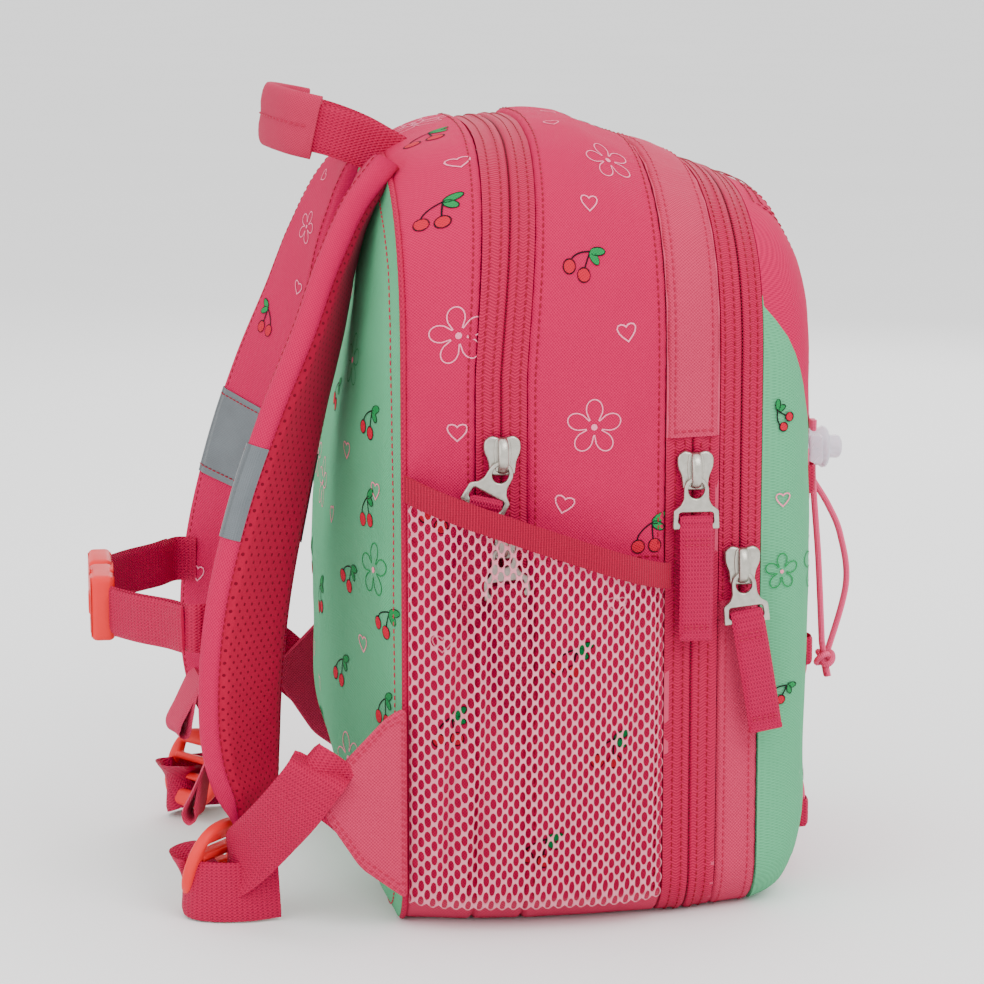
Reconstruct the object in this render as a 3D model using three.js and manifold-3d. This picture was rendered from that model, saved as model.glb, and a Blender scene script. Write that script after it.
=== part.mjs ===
// School backpack: a main compartment, a slim middle compartment and a laced front pocket, worn on
// two padded straps. Millimetres, +Z up. The front faces -Y, the wearer's back is toward +Y and the
// wearer's left is toward -X. The origin is on the floor, under the middle of the bag.
import * as THREE from 'three';
import { mergeVertices } from 'three/addons/utils/BufferGeometryUtils.js';
import Module from 'manifold-3d';

const wasm = await Module();
wasm.setup();

// ---------------------------------------------------------------- driving dimensions
const GAP = 0.3;                 // clearance between neighbouring pieces
const SHOULDER_Z = 225;          // height where the straight sides end and the top arch begins
const ARCH_POWER = 2.6;          // squareness of the top arch
const CORNER = 22;               // radius of the bottom corners
const WALL = 2.5;                // padded fabric
const TAPE = 1.6;                // zip tape
// y, half width and height of the bag's outline, from the wearer's back to the front
const OUTLINES = [
  [50, 108, 309], [25, 114, 320], [0, 116, 322], [-26, 115, 319],
  [-54, 112, 312], [-76, 107, 304], [-96, 101, 297],
];
// places along Y of the seams
const BACK_SEAM = 50;
const MAIN_ZIP = [22.5, 2.5];
const DIVIDER = -54;
const MIDDLE_ZIP = [-56.6, -75];
const POCKET_ZIP = [-77.1, -94.8];
const POCKET_SPLIT = -86.4;
// heights
const MAIN_ZIP_END = 148;
const MIDDLE_ZIP_END = 200;
const POCKET_ZIP_END = 132;
const FLAP_FOLD_Z = 190;
// webbing
const LOWER_WEB = { width: 25, thick: 1.6 };
const CHEST_WEB = { width: 20, thick: 1.5 };
const HANDLE_WEB = { width: 20, thick: 2 };
const STRAP = { foam: 9, cover: 1.6, ease: 0.9 };   // ease is the gap between the two layers
const CORD_RADIUS = 1.4;

// ---------------------------------------------------------------- materials
const COLOURS = {
  print: 0xe83e64, mint: 0x82cda0, canvas: 0xdc5f7d, tape: 0xd3144b, netting: 0xf5b9be,
  plastic: 0xee5858, reflective: 0x646b6e, elastic: 0xe87896, lock: 0xe1d7e1, metal: 0xbeb9af,
  foam: 0xd9d6cf, board: 0xe6e6e2, cover: 0xc8556c,
};

function material(name) {
  const isMetal = name === 'metal';
  const roughness = { metal: 0.35, plastic: 0.45, lock: 0.3 }[name] ?? 0.85;
  return new THREE.MeshStandardMaterial({ color: COLOURS[name], roughness, metalness: isMetal ? 0.9 : 0 });
}

const bag = new THREE.Group();

function addPiece(name, geometry, colour) {
  const mesh = new THREE.Mesh(geometry, material(colour));
  mesh.name = name;
  bag.add(mesh);
  return mesh;
}

// ---------------------------------------------------------------- solids from sections
function signedVolume(points, triangles) {
  let volume = 0;
  for (const [a, b, c] of triangles) {
    const [p, q, r] = [points[a], points[b], points[c]];
    volume += p[0] * (q[1] * r[2] - q[2] * r[1]);
    volume += p[1] * (q[2] * r[0] - q[0] * r[2]);
    volume += p[2] * (q[0] * r[1] - q[1] * r[0]);
  }
  return volume;
}

// Joins sections, each a loop of [x, y, z] points, into one closed body. Its ends are capped with a
// fan, or joined to each other when ring is true.
function loft(sections, { ring = false } = {}) {
  const count = sections[0].length;
  const points = sections.flat();
  const triangles = [];
  const spans = ring ? sections.length : sections.length - 1;
  for (let i = 0; i < spans; i += 1) {
    const here = i * count;
    const next = ((i + 1) % sections.length) * count;
    for (let j = 0; j < count; j += 1) {
      const k = (j + 1) % count;
      triangles.push([here + j, next + j, next + k], [here + j, next + k, here + k]);
    }
  }
  if (!ring) {
    const last = (sections.length - 1) * count;
    for (let j = 1; j < count - 1; j += 1) {
      triangles.push([0, j, j + 1], [last, last + j + 1, last + j]);
    }
  }
  if (signedVolume(points, triangles) < 0) {
    triangles.forEach((triangle) => triangle.reverse());
  }
  const geometry = new THREE.BufferGeometry();
  geometry.setAttribute('position', new THREE.Float32BufferAttribute(points.flat(), 3));
  geometry.setIndex(triangles.flat());
  return geometry;
}

function toSolid(geometry) {
  const plain = geometry.clone();
  plain.deleteAttribute('normal');
  plain.deleteAttribute('uv');
  const merged = mergeVertices(plain, 1e-4);
  const mesh = { numProp: 3, vertProperties: merged.attributes.position.array, triVerts: merged.index.array };
  mesh.vertProperties = new Float32Array(mesh.vertProperties);
  mesh.triVerts = new Uint32Array(mesh.triVerts);
  return new wasm.Manifold(new wasm.Mesh(mesh));
}

function toGeometry(solid) {
  const mesh = solid.getMesh();
  const geometry = new THREE.BufferGeometry();
  geometry.setAttribute('position', new THREE.BufferAttribute(new Float32Array(mesh.vertProperties), 3));
  geometry.setIndex(new THREE.BufferAttribute(new Uint32Array(mesh.triVerts), 1));
  return geometry;
}

function unite(...geometries) {
  return toGeometry(geometries.map(toSolid).reduce((sum, next) => sum.add(next)));
}

function cut(geometry, ...tools) {
  return toGeometry(tools.map(toSolid).reduce((rest, tool) => rest.subtract(tool), toSolid(geometry)));
}

function boxBetween(low, high) {
  const size = high.map((value, i) => value - low[i]);
  const box = new THREE.BoxGeometry(...size);
  return box.translate(...low.map((value, i) => value + size[i] / 2));
}

function mirrored(geometry) {
  const copy = geometry.clone();
  copy.scale(-1, 1, 1);
  const index = copy.index.array;
  for (let i = 0; i < index.length; i += 3) {
    [index[i], index[i + 1]] = [index[i + 1], index[i]];
  }
  return copy;
}

// ---------------------------------------------------------------- the bag's outline
function outlineAt(y) {
  let i = 1;
  while (i < OUTLINES.length - 1 && y < OUTLINES[i][0]) i += 1;
  const [before, after] = [OUTLINES[i - 1], OUTLINES[i]];
  const t = THREE.MathUtils.clamp((before[0] - y) / (before[0] - after[0]), 0, 1);
  return {
    half: THREE.MathUtils.lerp(before[1], after[1], t),
    top: THREE.MathUtils.lerp(before[2], after[2], t),
  };
}

// Points [x, z] up the left side from a height, over the arch and down the right side.
function overTop({ half, top }, fromZ, inset) {
  const points = [[-half + inset, fromZ]];
  const steps = 14;
  for (let i = 0; i <= steps; i += 1) {
    const angle = Math.PI * (1 - i / steps);
    const [c, s] = [Math.cos(angle), Math.sin(angle)];
    const x = (half - inset) * Math.sign(c) * Math.abs(c) ** (2 / ARCH_POWER);
    points.push([x, SHOULDER_Z + (top - inset - SHOULDER_Z) * s ** (2 / ARCH_POWER)]);
  }
  points.push([half - inset, fromZ]);
  return points;
}

// Points [x, z] down the right side from a height, along the bottom and up the left side.
function underBase({ half }, fromZ, inset) {
  const points = [[half - inset, fromZ]];
  const steps = 4;
  for (const side of [1, -1]) {
    for (let i = 0; i <= steps; i += 1) {
      const angle = (Math.PI / 2) * (side > 0 ? i / steps : 1 - i / steps);
      const x = side * (half - CORNER + (CORNER - inset) * Math.cos(angle));
      points.push([x, CORNER - (CORNER - inset) * Math.sin(angle)]);
    }
  }
  points.push([-half + inset, fromZ]);
  return points;
}

function fullOutline(outline, inset) {
  const middle = SHOULDER_Z / 2;
  const over = overTop(outline, middle, inset);
  return [...over, ...underBase(outline, middle, inset).slice(1, -1)];
}

// A band of wall between two places along Y, over the top, under the base or all the way round.
function band(path, [yBack, yFront], fromZ, thick) {
  const sections = [];
  const corners = [[yBack, 0], [yFront, 0], [yFront, thick], [yBack, thick]];
  const loops = corners.map(([y, inset]) => {
    const points = path === fullOutline
      ? fullOutline(outlineAt(y), inset)
      : path(outlineAt(y), fromZ, inset);
    return points.map(([x, z]) => [x, y, z]);
  });
  for (let i = 0; i < loops[0].length; i += 1) sections.push(loops.map((loop) => loop[i]));
  return loft(sections, { ring: path === fullOutline });
}

// A flat sheet that fills the outline between two places along Y.
function sheet(yBack, yFront, inset, scale = 1, middleZ = 150) {
  const sections = [yBack, yFront].map((y) => fullOutline(outlineAt(y), inset)
    .map(([x, z]) => [x * scale, y, middleZ + (z - middleZ) * scale]));
  return loft(sections);
}

// Rows of [scale, y]: the outline shrinks toward a middle as it moves along Y.
function dome(outline, middleZ, inset, rows) {
  return rows.map(([scale, y]) => fullOutline(outline, inset)
    .map(([x, z]) => [x * scale, y, middleZ + (z - middleZ) * scale]));
}

// ---------------------------------------------------------------- bag body
function addBackPanel() {
  const rows = [
    [1, BACK_SEAM + GAP], [1, 51.6], [0.97, 53], [0.9, 55.5], [0.75, 60.5], [0.6, 65.5],
    [0.45, 70], [0.3, 73.5], [0.15, 75.6],
  ];
  const outer = dome(outlineAt(BACK_SEAM), 100, 0, rows);
  addPiece('back_panel', loft(outer), 'mint');
  addPiece('back_stiffener', sheet(BACK_SEAM - GAP, BACK_SEAM - 2.3, WALL + 1), 'board');
}

function addMainCompartment() {
  addPiece('rear_gusset', band(fullOutline, [BACK_SEAM, MAIN_ZIP[0] + GAP], 0, WALL), 'print');
  addPiece('main_zip_tape', band(overTop, MAIN_ZIP, MAIN_ZIP_END + GAP, TAPE), 'tape');
  addPiece('base_gusset', band(underBase, MAIN_ZIP, MAIN_ZIP_END, WALL), 'print');
  addPiece('front_gusset', band(fullOutline, [MAIN_ZIP[1] - GAP, DIVIDER], 0, WALL), 'print');
}

function addMiddleCompartment() {
  addPiece('divider_panel', sheet(DIVIDER - GAP, MIDDLE_ZIP[0] + GAP, 0), 'print');
  addPiece('middle_gusset', band(overTop, MIDDLE_ZIP, MIDDLE_ZIP_END + GAP, WALL), 'canvas');
  addPiece('middle_zip_tape', band(underBase, MIDDLE_ZIP, MIDDLE_ZIP_END, TAPE), 'tape');
  addPiece('middle_panel', sheet(MIDDLE_ZIP[1] - GAP, POCKET_ZIP[0] + GAP, 0), 'print');
}

// The pocket's face is a shallow dish, cut at the fold into a laced lower wall and a flap.
function pocketDish() {
  const outline = outlineAt(POCKET_ZIP[1]);
  const rows = [
    [1, POCKET_ZIP[1] - GAP], [0.985, -103], [0.95, -111], [0.89, -116.5], [0.78, -120.3],
    [0.6, -122.4], [0.3, -123.2],
  ];
  const outside = dome(outline, 135, 0, rows);
  const inside = dome(outline, 135, WALL, rows.map(([scale, y], i) => [scale, i ? y + WALL : y])).reverse();
  return loft([...inside, ...outside]);
}

function addFrontPocket() {
  const above = boxBetween([-150, -200, FLAP_FOLD_Z], [150, 0, 400]);
  const below = boxBetween([-150, -200, -50], [150, 0, FLAP_FOLD_Z + GAP]);
  const dish = pocketDish();
  addPiece('front_pocket_wall', cut(dish, above), 'mint');
  addPiece('front_pocket_flap', cut(dish, below), 'mint');
  const rearTape = band(overTop, [POCKET_ZIP[0], POCKET_SPLIT], POCKET_ZIP_END + GAP, TAPE);
  const frontTape = band(overTop, [POCKET_SPLIT + 0.2, POCKET_ZIP[1]], POCKET_ZIP_END + GAP, TAPE);
  addPiece('pocket_zip_tape', unite(rearTape, cut(frontTape, above)), 'tape');
  const flapTape = band(overTop, [POCKET_SPLIT - GAP, POCKET_ZIP[1]], POCKET_ZIP_END + GAP, TAPE);
  addPiece('pocket_zip_flap_tape', cut(flapTape, below), 'tape');
  addPiece('front_lower_gusset', band(underBase, POCKET_ZIP, POCKET_ZIP_END, WALL), 'canvas');
}

// ---------------------------------------------------------------- side mesh pockets
const POCKET = { back: 49.4, front: -54, floor: 8, rimBack: 176, rimFront: 139, rimHeight: 10, net: 1.2 };

function rimZ(y) {
  const t = (POCKET.back - y) / (POCKET.back - POCKET.front);
  return THREE.MathUtils.lerp(POCKET.rimBack, POCKET.rimFront, t);
}

// How far the netting stands off the bag's side.
function bulge(y, z) {
  const across = (2 * (y - POCKET.front)) / (POCKET.back - POCKET.front) - 1;
  const up = THREE.MathUtils.clamp((z - POCKET.floor) / (rimZ(y) - POCKET.floor), 0, 1);
  return 16 * (1 - across ** 6) * up ** 0.4;
}

function sidePiece(heights, thick, lift) {
  const sections = [];
  const steps = 10;
  for (let i = 0; i <= steps; i += 1) {
    const y = THREE.MathUtils.lerp(POCKET.back, POCKET.front, i / steps);
    const wall = outlineAt(y).half + GAP + lift;
    const rows = heights(y);
    const inner = rows.map((z) => [-wall - bulge(y, z), y, z]);
    const outer = rows.map((z) => [-wall - bulge(y, z) - thick, y, z]).reverse();
    sections.push([...inner, ...outer]);
  }
  return loft(sections);
}

function addSidePockets() {
  const levels = [0, 0.08, 0.25, 0.6, 1];
  const netRows = (y) => levels.map((t) => THREE.MathUtils.lerp(CORNER, rimZ(y), t));
  const net = sidePiece(netRows, POCKET.net, 0);
  const rim = sidePiece((y) => [rimZ(y) + GAP, rimZ(y) + POCKET.rimHeight], 2.4, -0.2);
  for (const [side, copy] of [['left', (g) => g], ['right', mirrored]]) {
    addPiece(`mesh_pocket_${side}`, copy(net), 'netting');
    addPiece(`mesh_pocket_rim_${side}`, copy(rim), 'tape');
  }
}

// ---------------------------------------------------------------- ribbons along a route
// Stations are { at: [x, y, z], across: [x, y, z], width, thick, lift }. lift moves the section out
// along its own normal, so that layers of one strap share a route.
function ribbon(stations) {
  const points = stations.map(({ at }) => new THREE.Vector3(...at));
  const sections = stations.map((station, i) => {
    const before = points[Math.max(i - 1, 0)];
    const after = points[Math.min(i + 1, points.length - 1)];
    const along = after.clone().sub(before).normalize();
    const across = new THREE.Vector3(...station.across);
    across.addScaledVector(along, -across.dot(along)).normalize();
    const normal = along.clone().cross(across).normalize();
    const middle = points[i].clone().addScaledVector(normal, station.lift ?? 0);
    const [w, t] = [station.width / 2, station.thick / 2];
    return [[-w, -t], [w, -t], [w, t], [-w, t]].map(([a, b]) => middle.clone()
      .addScaledVector(across, a).addScaledVector(normal, b).toArray());
  });
  return loft(sections);
}

// Spreads stations evenly along a smooth curve through hand-placed ones.
function smoothStations(list, steps) {
  const routes = ['at', 'across'].map((key) => new THREE.CatmullRomCurve3(
    list.map((station) => new THREE.Vector3(...station[key])), false, 'centripetal'));
  const widths = list.map(({ width }) => width);
  const stations = [];
  for (let i = 0; i <= steps; i += 1) {
    const t = i / steps;
    const place = Math.min(t * (list.length - 1), list.length - 1.0001);
    const whole = Math.floor(place);
    const width = THREE.MathUtils.lerp(widths[whole], widths[whole + 1], place - whole);
    stations.push({ at: routes[0].getPoint(t).toArray(), across: routes[1].getPoint(t).toArray(), width });
  }
  return stations;
}

// ---------------------------------------------------------------- carry handle
function addHandle() {
  const [rootX, rootY, endY] = [30, 51, 95];
  const loop = [
    [-rootX, rootY, 320], [-rootX - 3, rootY + 18, 321], [-rootX + 4, endY - 8, 323],
    [0, endY, 325], [rootX - 4, endY - 8, 323], [rootX + 3, rootY + 18, 321], [rootX, rootY, 320],
  ].map((at) => ({ at, across: [0, -0.1, 1], width: HANDLE_WEB.width }));
  const route = smoothStations(loop, 24);
  addPiece('carry_handle', ribbon(route.map((s) => ({ ...s, thick: HANDLE_WEB.thick }))), 'tape');
  const middle = route.slice(6, 19);
  const sleeve = (width, thick) => ribbon(middle.map((s) => ({ ...s, width, thick })));
  const bore = { width: HANDLE_WEB.width + 2 * GAP, thick: HANDLE_WEB.thick + 2 * GAP };
  const longer = ribbon(route.slice(5, 20).map((s) => ({ ...s, ...bore })));
  addPiece('handle_cover', cut(sleeve(HANDLE_WEB.width + 4, HANDLE_WEB.thick + 4), longer), 'cover');
}

// ---------------------------------------------------------------- shoulder straps
function strapRoute() {
  // centre of the foam down the strap, and the turn of its width about the upright
  const rows = [
    [-44, 60, 299, 6, 44], [-47, 66, 286, 10, 46], [-52, 73, 265, 14, 50], [-57, 80, 238, 20, 52],
    [-61, 90, 205, 28, 52], [-63, 100, 170, 35, 51], [-65, 109, 130, 39, 50], [-67, 113, 95, 40, 48],
    [-69, 113, 66, 40, 42], [-71, 109, 40, 38, 26],
  ];
  return smoothStations(rows.map(([x, y, z, turn, width]) => {
    const angle = THREE.MathUtils.degToRad(turn);
    return { at: [x, y, z], across: [Math.cos(angle), -Math.sin(angle), 0], width };
  }), 22);
}

function addStraps() {
  const route = strapRoute();
  // the route runs down, so the normal of a section points to the wearer's side when lift is negative
  const foam = ribbon(route.map((s) => ({ ...s, thick: STRAP.foam })));
  const coverLift = -(STRAP.foam + STRAP.cover) / 2 - STRAP.ease;
  const cover = ribbon(route.map((s) => ({ ...s, width: s.width + 3, thick: STRAP.cover, lift: coverLift })));
  const patchLift = coverLift - STRAP.cover / 2 - GAP - 0.4;
  const patch = ribbon(route.slice(10, 14).map((s) => ({ ...s, width: 34, thick: 0.8, lift: patchLift })));
  const tab = ribbon([
    { at: [-68, 127, 64], across: [1, -0.75, 0], width: 20, thick: 1.6 },
    { at: [-70, 129.5, 53], across: [1, -0.4, 0], width: 20, thick: 1.6 },
    { at: [-71, 132, 43], across: [1, 0, 0], width: 20, thick: 1.6 },
  ]);
  for (const [side, copy] of [['left', (g) => g], ['right', mirrored]]) {
    addPiece(`${side}_strap_foam`, copy(foam), 'foam');
    addPiece(`${side}_strap_cover`, copy(cover), 'print');
    addPiece(`${side}_strap_reflector`, copy(patch), 'reflective');
    addPiece(`${side}_strap_tab`, copy(tab), 'canvas');
  }
}

// ---------------------------------------------------------------- lower webbing and ladder locks
const LADDER = { width: 36, height: 36, thick: 5, slot: [27, 4.5], tilt: 20, at: [-71, 124.5, 23] };

function ladderLock() {
  const shape = new THREE.Shape();
  shape.absellipse(0, 0, LADDER.width / 2, LADDER.height / 2, 0, Math.PI * 2);
  for (const y of [-8, 0, 8]) {
    const [w, h] = [LADDER.slot[0] / 2 - Math.abs(y) * 0.25, LADDER.slot[1] / 2];
    const slot = new THREE.Path();
    slot.moveTo(-w, y - h).lineTo(-w, y + h).lineTo(w, y + h).lineTo(w, y - h).closePath();
    shape.holes.push(slot);
  }
  const extrusion = { depth: LADDER.thick, bevelEnabled: false, curveSegments: 10 };
  const plate = new THREE.ExtrudeGeometry(shape, extrusion);
  plate.translate(0, 0, -LADDER.thick / 2);
  plate.rotateX(Math.PI / 2);
  plate.rotateX(-THREE.MathUtils.degToRad(LADDER.tilt));
  return toGeometry(toSolid(plate)).translate(...LADDER.at);
}

function lowerWebbing() {
  const stations = [
    { at: [-116.2, 78, 56], across: [0, 0.62, -0.78] },
    { at: [-114.6, 90, 66], across: [0.15, 0.62, -0.75] },
    { at: [-105, 99, 60], across: [0.7, 0.4, 0.3] },
    { at: [-97, 104, 44], across: [0.8, 0.3, 0.35] },
    { at: [-91, 109, 30], across: [0.9, 0.2, 0.3] },
    { at: [-86, 112, 19], across: [1, 0, 0.2] },
  ].map((station) => ({ ...station, width: LOWER_WEB.width }));
  return ribbon(smoothStations(stations, 12).map((s) => ({ ...s, thick: LOWER_WEB.thick })));
}

function wing() {
  const corners = [[50.8, 16], [50.8, 93], [60, 88], [83, 62], [83, 52], [68, 30]];
  const outer = corners.map(([y, z]) => [-113.5, y, z]);
  const inner = corners.map(([y, z]) => [-110.5, y, z]);
  return loft([outer, inner]);
}

function addLowerFittings() {
  for (const [side, copy] of [['left', (g) => g], ['right', mirrored]]) {
    addPiece(`strap_wing_${side}`, copy(wing()), 'canvas');
    addPiece(`lower_webbing_${side}`, copy(lowerWebbing()), 'tape');
    addPiece(`ladder_lock_${side}`, copy(ladderLock()), 'plastic');
  }
}

// ---------------------------------------------------------------- chest strap and buckle
const CHEST_Z = 120;
const BUCKLE_Y = 168;

function addChestStrap() {
  const half = [
    [-74, 133, CHEST_Z], [-62, 141, CHEST_Z], [-48, 154, CHEST_Z], [-33, BUCKLE_Y - 4, CHEST_Z],
  ].map((at) => ({ at, across: [0, 0, 1], width: CHEST_WEB.width }));
  const webbing = ribbon(smoothStations(half, 8).map((s) => ({ ...s, thick: CHEST_WEB.thick })));
  addPiece('chest_webbing_left', webbing, 'tape');
  addPiece('chest_webbing_right', mirrored(webbing), 'tape');
  // the female half is a sleeve open toward +X, the male half a fork that plugs into it
  const [halfZ, halfY] = [14, 5];
  const body = boxBetween([-32, BUCKLE_Y - halfY, CHEST_Z - halfZ], [6, BUCKLE_Y + halfY, CHEST_Z + halfZ]);
  const socket = boxBetween([-16, BUCKLE_Y - 3, CHEST_Z - 11], [7, BUCKLE_Y + 3, CHEST_Z + 11]);
  const window1 = boxBetween([-12, BUCKLE_Y - 3, CHEST_Z + 10], [-2, BUCKLE_Y + 3, CHEST_Z + 15]);
  const window2 = boxBetween([-12, BUCKLE_Y - 3, CHEST_Z - 15], [-2, BUCKLE_Y + 3, CHEST_Z - 10]);
  addPiece('chest_buckle_female', cut(body, socket, window1, window2), 'plastic');
  const plate = boxBetween([6.5, BUCKLE_Y - halfY, CHEST_Z - halfZ], [32, BUCKLE_Y + halfY, CHEST_Z + halfZ]);
  const prong = (z) => boxBetween([-14, BUCKLE_Y - 2.2, z - 2.4], [7, BUCKLE_Y + 2.2, z + 2.4]);
  const prongs = [CHEST_Z + 7.5, CHEST_Z - 7.5, CHEST_Z].map(prong);
  addPiece('chest_buckle_male', unite(plate, ...prongs), 'plastic');
}

// ---------------------------------------------------------------- zip sliders and pulls
// Pulls and their tapes lean in the plane of the bag's side, in degrees toward the wearer's back.
const SLIDERS = [
  { name: 'main_upper', y: 12.5, z: 195.5, lean: 30, tapeLean: 12 },
  { name: 'main_lower', y: 12.5, z: 162, lean: -6, tapeLean: -6 },
  { name: 'middle', y: -65.8, z: 187, lean: 0, tapeLean: 0 },
  { name: 'pocket', y: POCKET_SPLIT, z: 147, lean: -6, tapeLean: -10 },
];
const SLIDER = {
  width: 15, height: 16, thick: 3,
  bail: 4.2, bridge: 1.2, bailWidth: 2.4, post: 5.4, postThick: 1.2,
};
// the link's eye bar is its hinge line; it rests this far above the bail's lower post
const PULL = { bar: 1.5, topWidth: 9.6, bottom: -19.5, width: 19, thick: 1.6, eye: [6.8, 7], rest: 2.2 };
const PULL_TAPE = { width: 13.6, length: 47, thick: 1.8 };

// Local frame on the bag's left side: x toward the front, y up, z out of the bag.
function placeOnSide(geometry, y, z, out) {
  const turn = new THREE.Matrix4().makeBasis(
    new THREE.Vector3(0, -1, 0), new THREE.Vector3(0, 0, 1), new THREE.Vector3(-1, 0, 0));
  return geometry.applyMatrix4(turn).translate(-out, y, z);
}

function polygon(shape, points) {
  points.forEach(([x, y], i) => (i ? shape.lineTo(x, y) : shape.moveTo(x, y)));
  return shape.closePath();
}

// A slider plate with a bail: a bridge on two posts.
function sliderBody() {
  const { thick, bail, bridge, bailWidth, post, postThick } = SLIDER;
  const w = SLIDER.width / 2;
  const h = SLIDER.height / 2;
  const half = [[0.55, 1], [0.9, 0.6], [1, 0.2], [0.75, -0.3], [0.7, -1]].map(([x, y]) => [x * w, y * h]);
  const shape = polygon(new THREE.Shape(), [...half, ...half.map(([x, y]) => [-x, y]).reverse()]);
  const plate = new THREE.ExtrudeGeometry(shape, { depth: thick, bevelEnabled: false });
  const top = new THREE.BoxGeometry(bailWidth, 2 * post + postThick, bridge)
    .translate(0, 0, thick + bail - bridge / 2);
  const posts = [post, -post].map((y) => new THREE.BoxGeometry(bailWidth, postThick, bail)
    .translate(0, y, thick + bail / 2 - 0.2));
  return unite(plate, top, ...posts);
}

// The link turns on its eye bar, at the origin, and has a slot for its tape below.
function pullLink() {
  const { bar, topWidth, bottom, width, thick, eye } = PULL;
  const shape = polygon(new THREE.Shape(),
    [[topWidth / 2, bar / 2], [width / 2, bottom], [-width / 2, bottom], [-topWidth / 2, bar / 2]]);
  const plate = new THREE.ExtrudeGeometry(shape, { depth: thick, bevelEnabled: false });
  const opening = new THREE.BoxGeometry(eye[0], eye[1], 3 * thick).translate(0, -bar / 2 - eye[1] / 2, 0);
  const slot = new THREE.BoxGeometry(13.6, 3.6, 3 * thick).translate(0, bottom + 4, 0);
  return cut(plate, opening, slot).translate(0, 0, -thick / 2);
}

function addSliders() {
  for (const { name, y, z, lean, tapeLean } of SLIDERS) {
    const edges = [y - SLIDER.width / 2, y, y + SLIDER.width / 2];
    const face = Math.max(...edges.map((edge) => outlineAt(edge).half)) + GAP;
    addPiece(`${name}_zip_slider`, placeOnSide(sliderBody(), y, z, face), 'metal');
    const outward = new THREE.Vector3(0, 0, 1);
    const [turn, tapeTurn] = [lean, tapeLean].map((angle) => -THREE.MathUtils.degToRad(angle));
    const out = face + SLIDER.thick + (SLIDER.bail - SLIDER.bridge) / 2;
    const pivot = new THREE.Vector3(0, PULL.rest, 0).applyAxisAngle(outward, turn);
    const [barY, barZ] = [y - pivot.x, z - SLIDER.post + pivot.y];
    addPiece(`${name}_zip_pull`, placeOnSide(pullLink().rotateZ(turn), barY, barZ, out), 'metal');
    const tape = new THREE.BoxGeometry(PULL_TAPE.width, PULL_TAPE.length, PULL_TAPE.thick);
    const start = new THREE.Vector3(0, PULL.bottom - GAP, 0).applyAxisAngle(outward, turn);
    const drop = Math.abs(lean - tapeLean) > 10 ? 3 : 0.5;
    tape.translate(0, -PULL_TAPE.length / 2 - drop, 0).rotateZ(tapeTurn).translate(start.x, start.y, -0.3);
    addPiece(`${name}_pull_tape`, placeOnSide(toGeometry(toSolid(tape)), barY, barZ, out), 'tape');
  }
}

// ---------------------------------------------------------------- lacing on the pocket
const LACE = { rows: [171, 97, 26], half: 50, face: -123.6 };

function addLacing() {
  const names = ['upper', 'middle', 'lower'];
  LACE.rows.forEach((z, i) => {
    const y = i === 2 ? -123 : LACE.face;
    const strip = boxBetween([-LACE.half, y - 1.4, z - 6], [LACE.half, y, z + 6]);
    const loops = [-1, 1].map((side) => {
      const x = side * (LACE.half - 6);
      const outside = boxBetween([x - 6, y - 7.6, z - 6], [x + 6, y - 1.2, z + 6]);
      const inside = boxBetween([x - 4.6, y - 6.2, z - 7], [x + 4.6, y - 1.4, z + 7]);
      return cut(outside, inside);
    });
    addPiece(`lace_tab_${names[i]}`, unite(strip, ...loops), 'tape');
  });
}

// ---------------------------------------------------------------- elastic cord and its lock
function tube(points, sides, radius, steps) {
  const section = new THREE.Shape();
  section.absarc(0, 0, radius, 0, Math.PI * 2);
  const curve = new THREE.CatmullRomCurve3(points.map((p) => new THREE.Vector3(...p)), false, 'centripetal');
  const options = { extrudePath: curve, steps, bevelEnabled: false, curveSegments: sides / 2 };
  return toGeometry(toSolid(new THREE.ExtrudeGeometry(section, options)));
}

const LOCK = { x: -8, back: -127, front: -145, z: 178, half: [8, 9], bore: 5.4 };
const STRAND_Y = -139;
const PRESS = 3.5;             // travel of the lock's plunger

// The cord is laced in a zigzag through the loops of the webbing tabs.
function lacePoints() {
  const [upper, middle, lower] = LACE.rows;
  const [side, y] = [LACE.half - 6, LACE.face - 3.9];
  const right = [
    [LOCK.x + 2, y - 1.2, LOCK.z + 13], [side * 0.4, y - 0.6, upper + 16], [side - 1, y, upper + 12],
    [side, y, upper], [side - 1, y, upper - 12], [0, y - 4, (upper + middle) / 2], [1 - side, y, middle + 12],
    [-side, y, middle], [1 - side, y, middle - 12], [0, y + 0.6, (middle + lower) / 2],
    [side - 1, y, lower + 12],
    [side, y, lower],
  ];
  return right;
}

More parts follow.
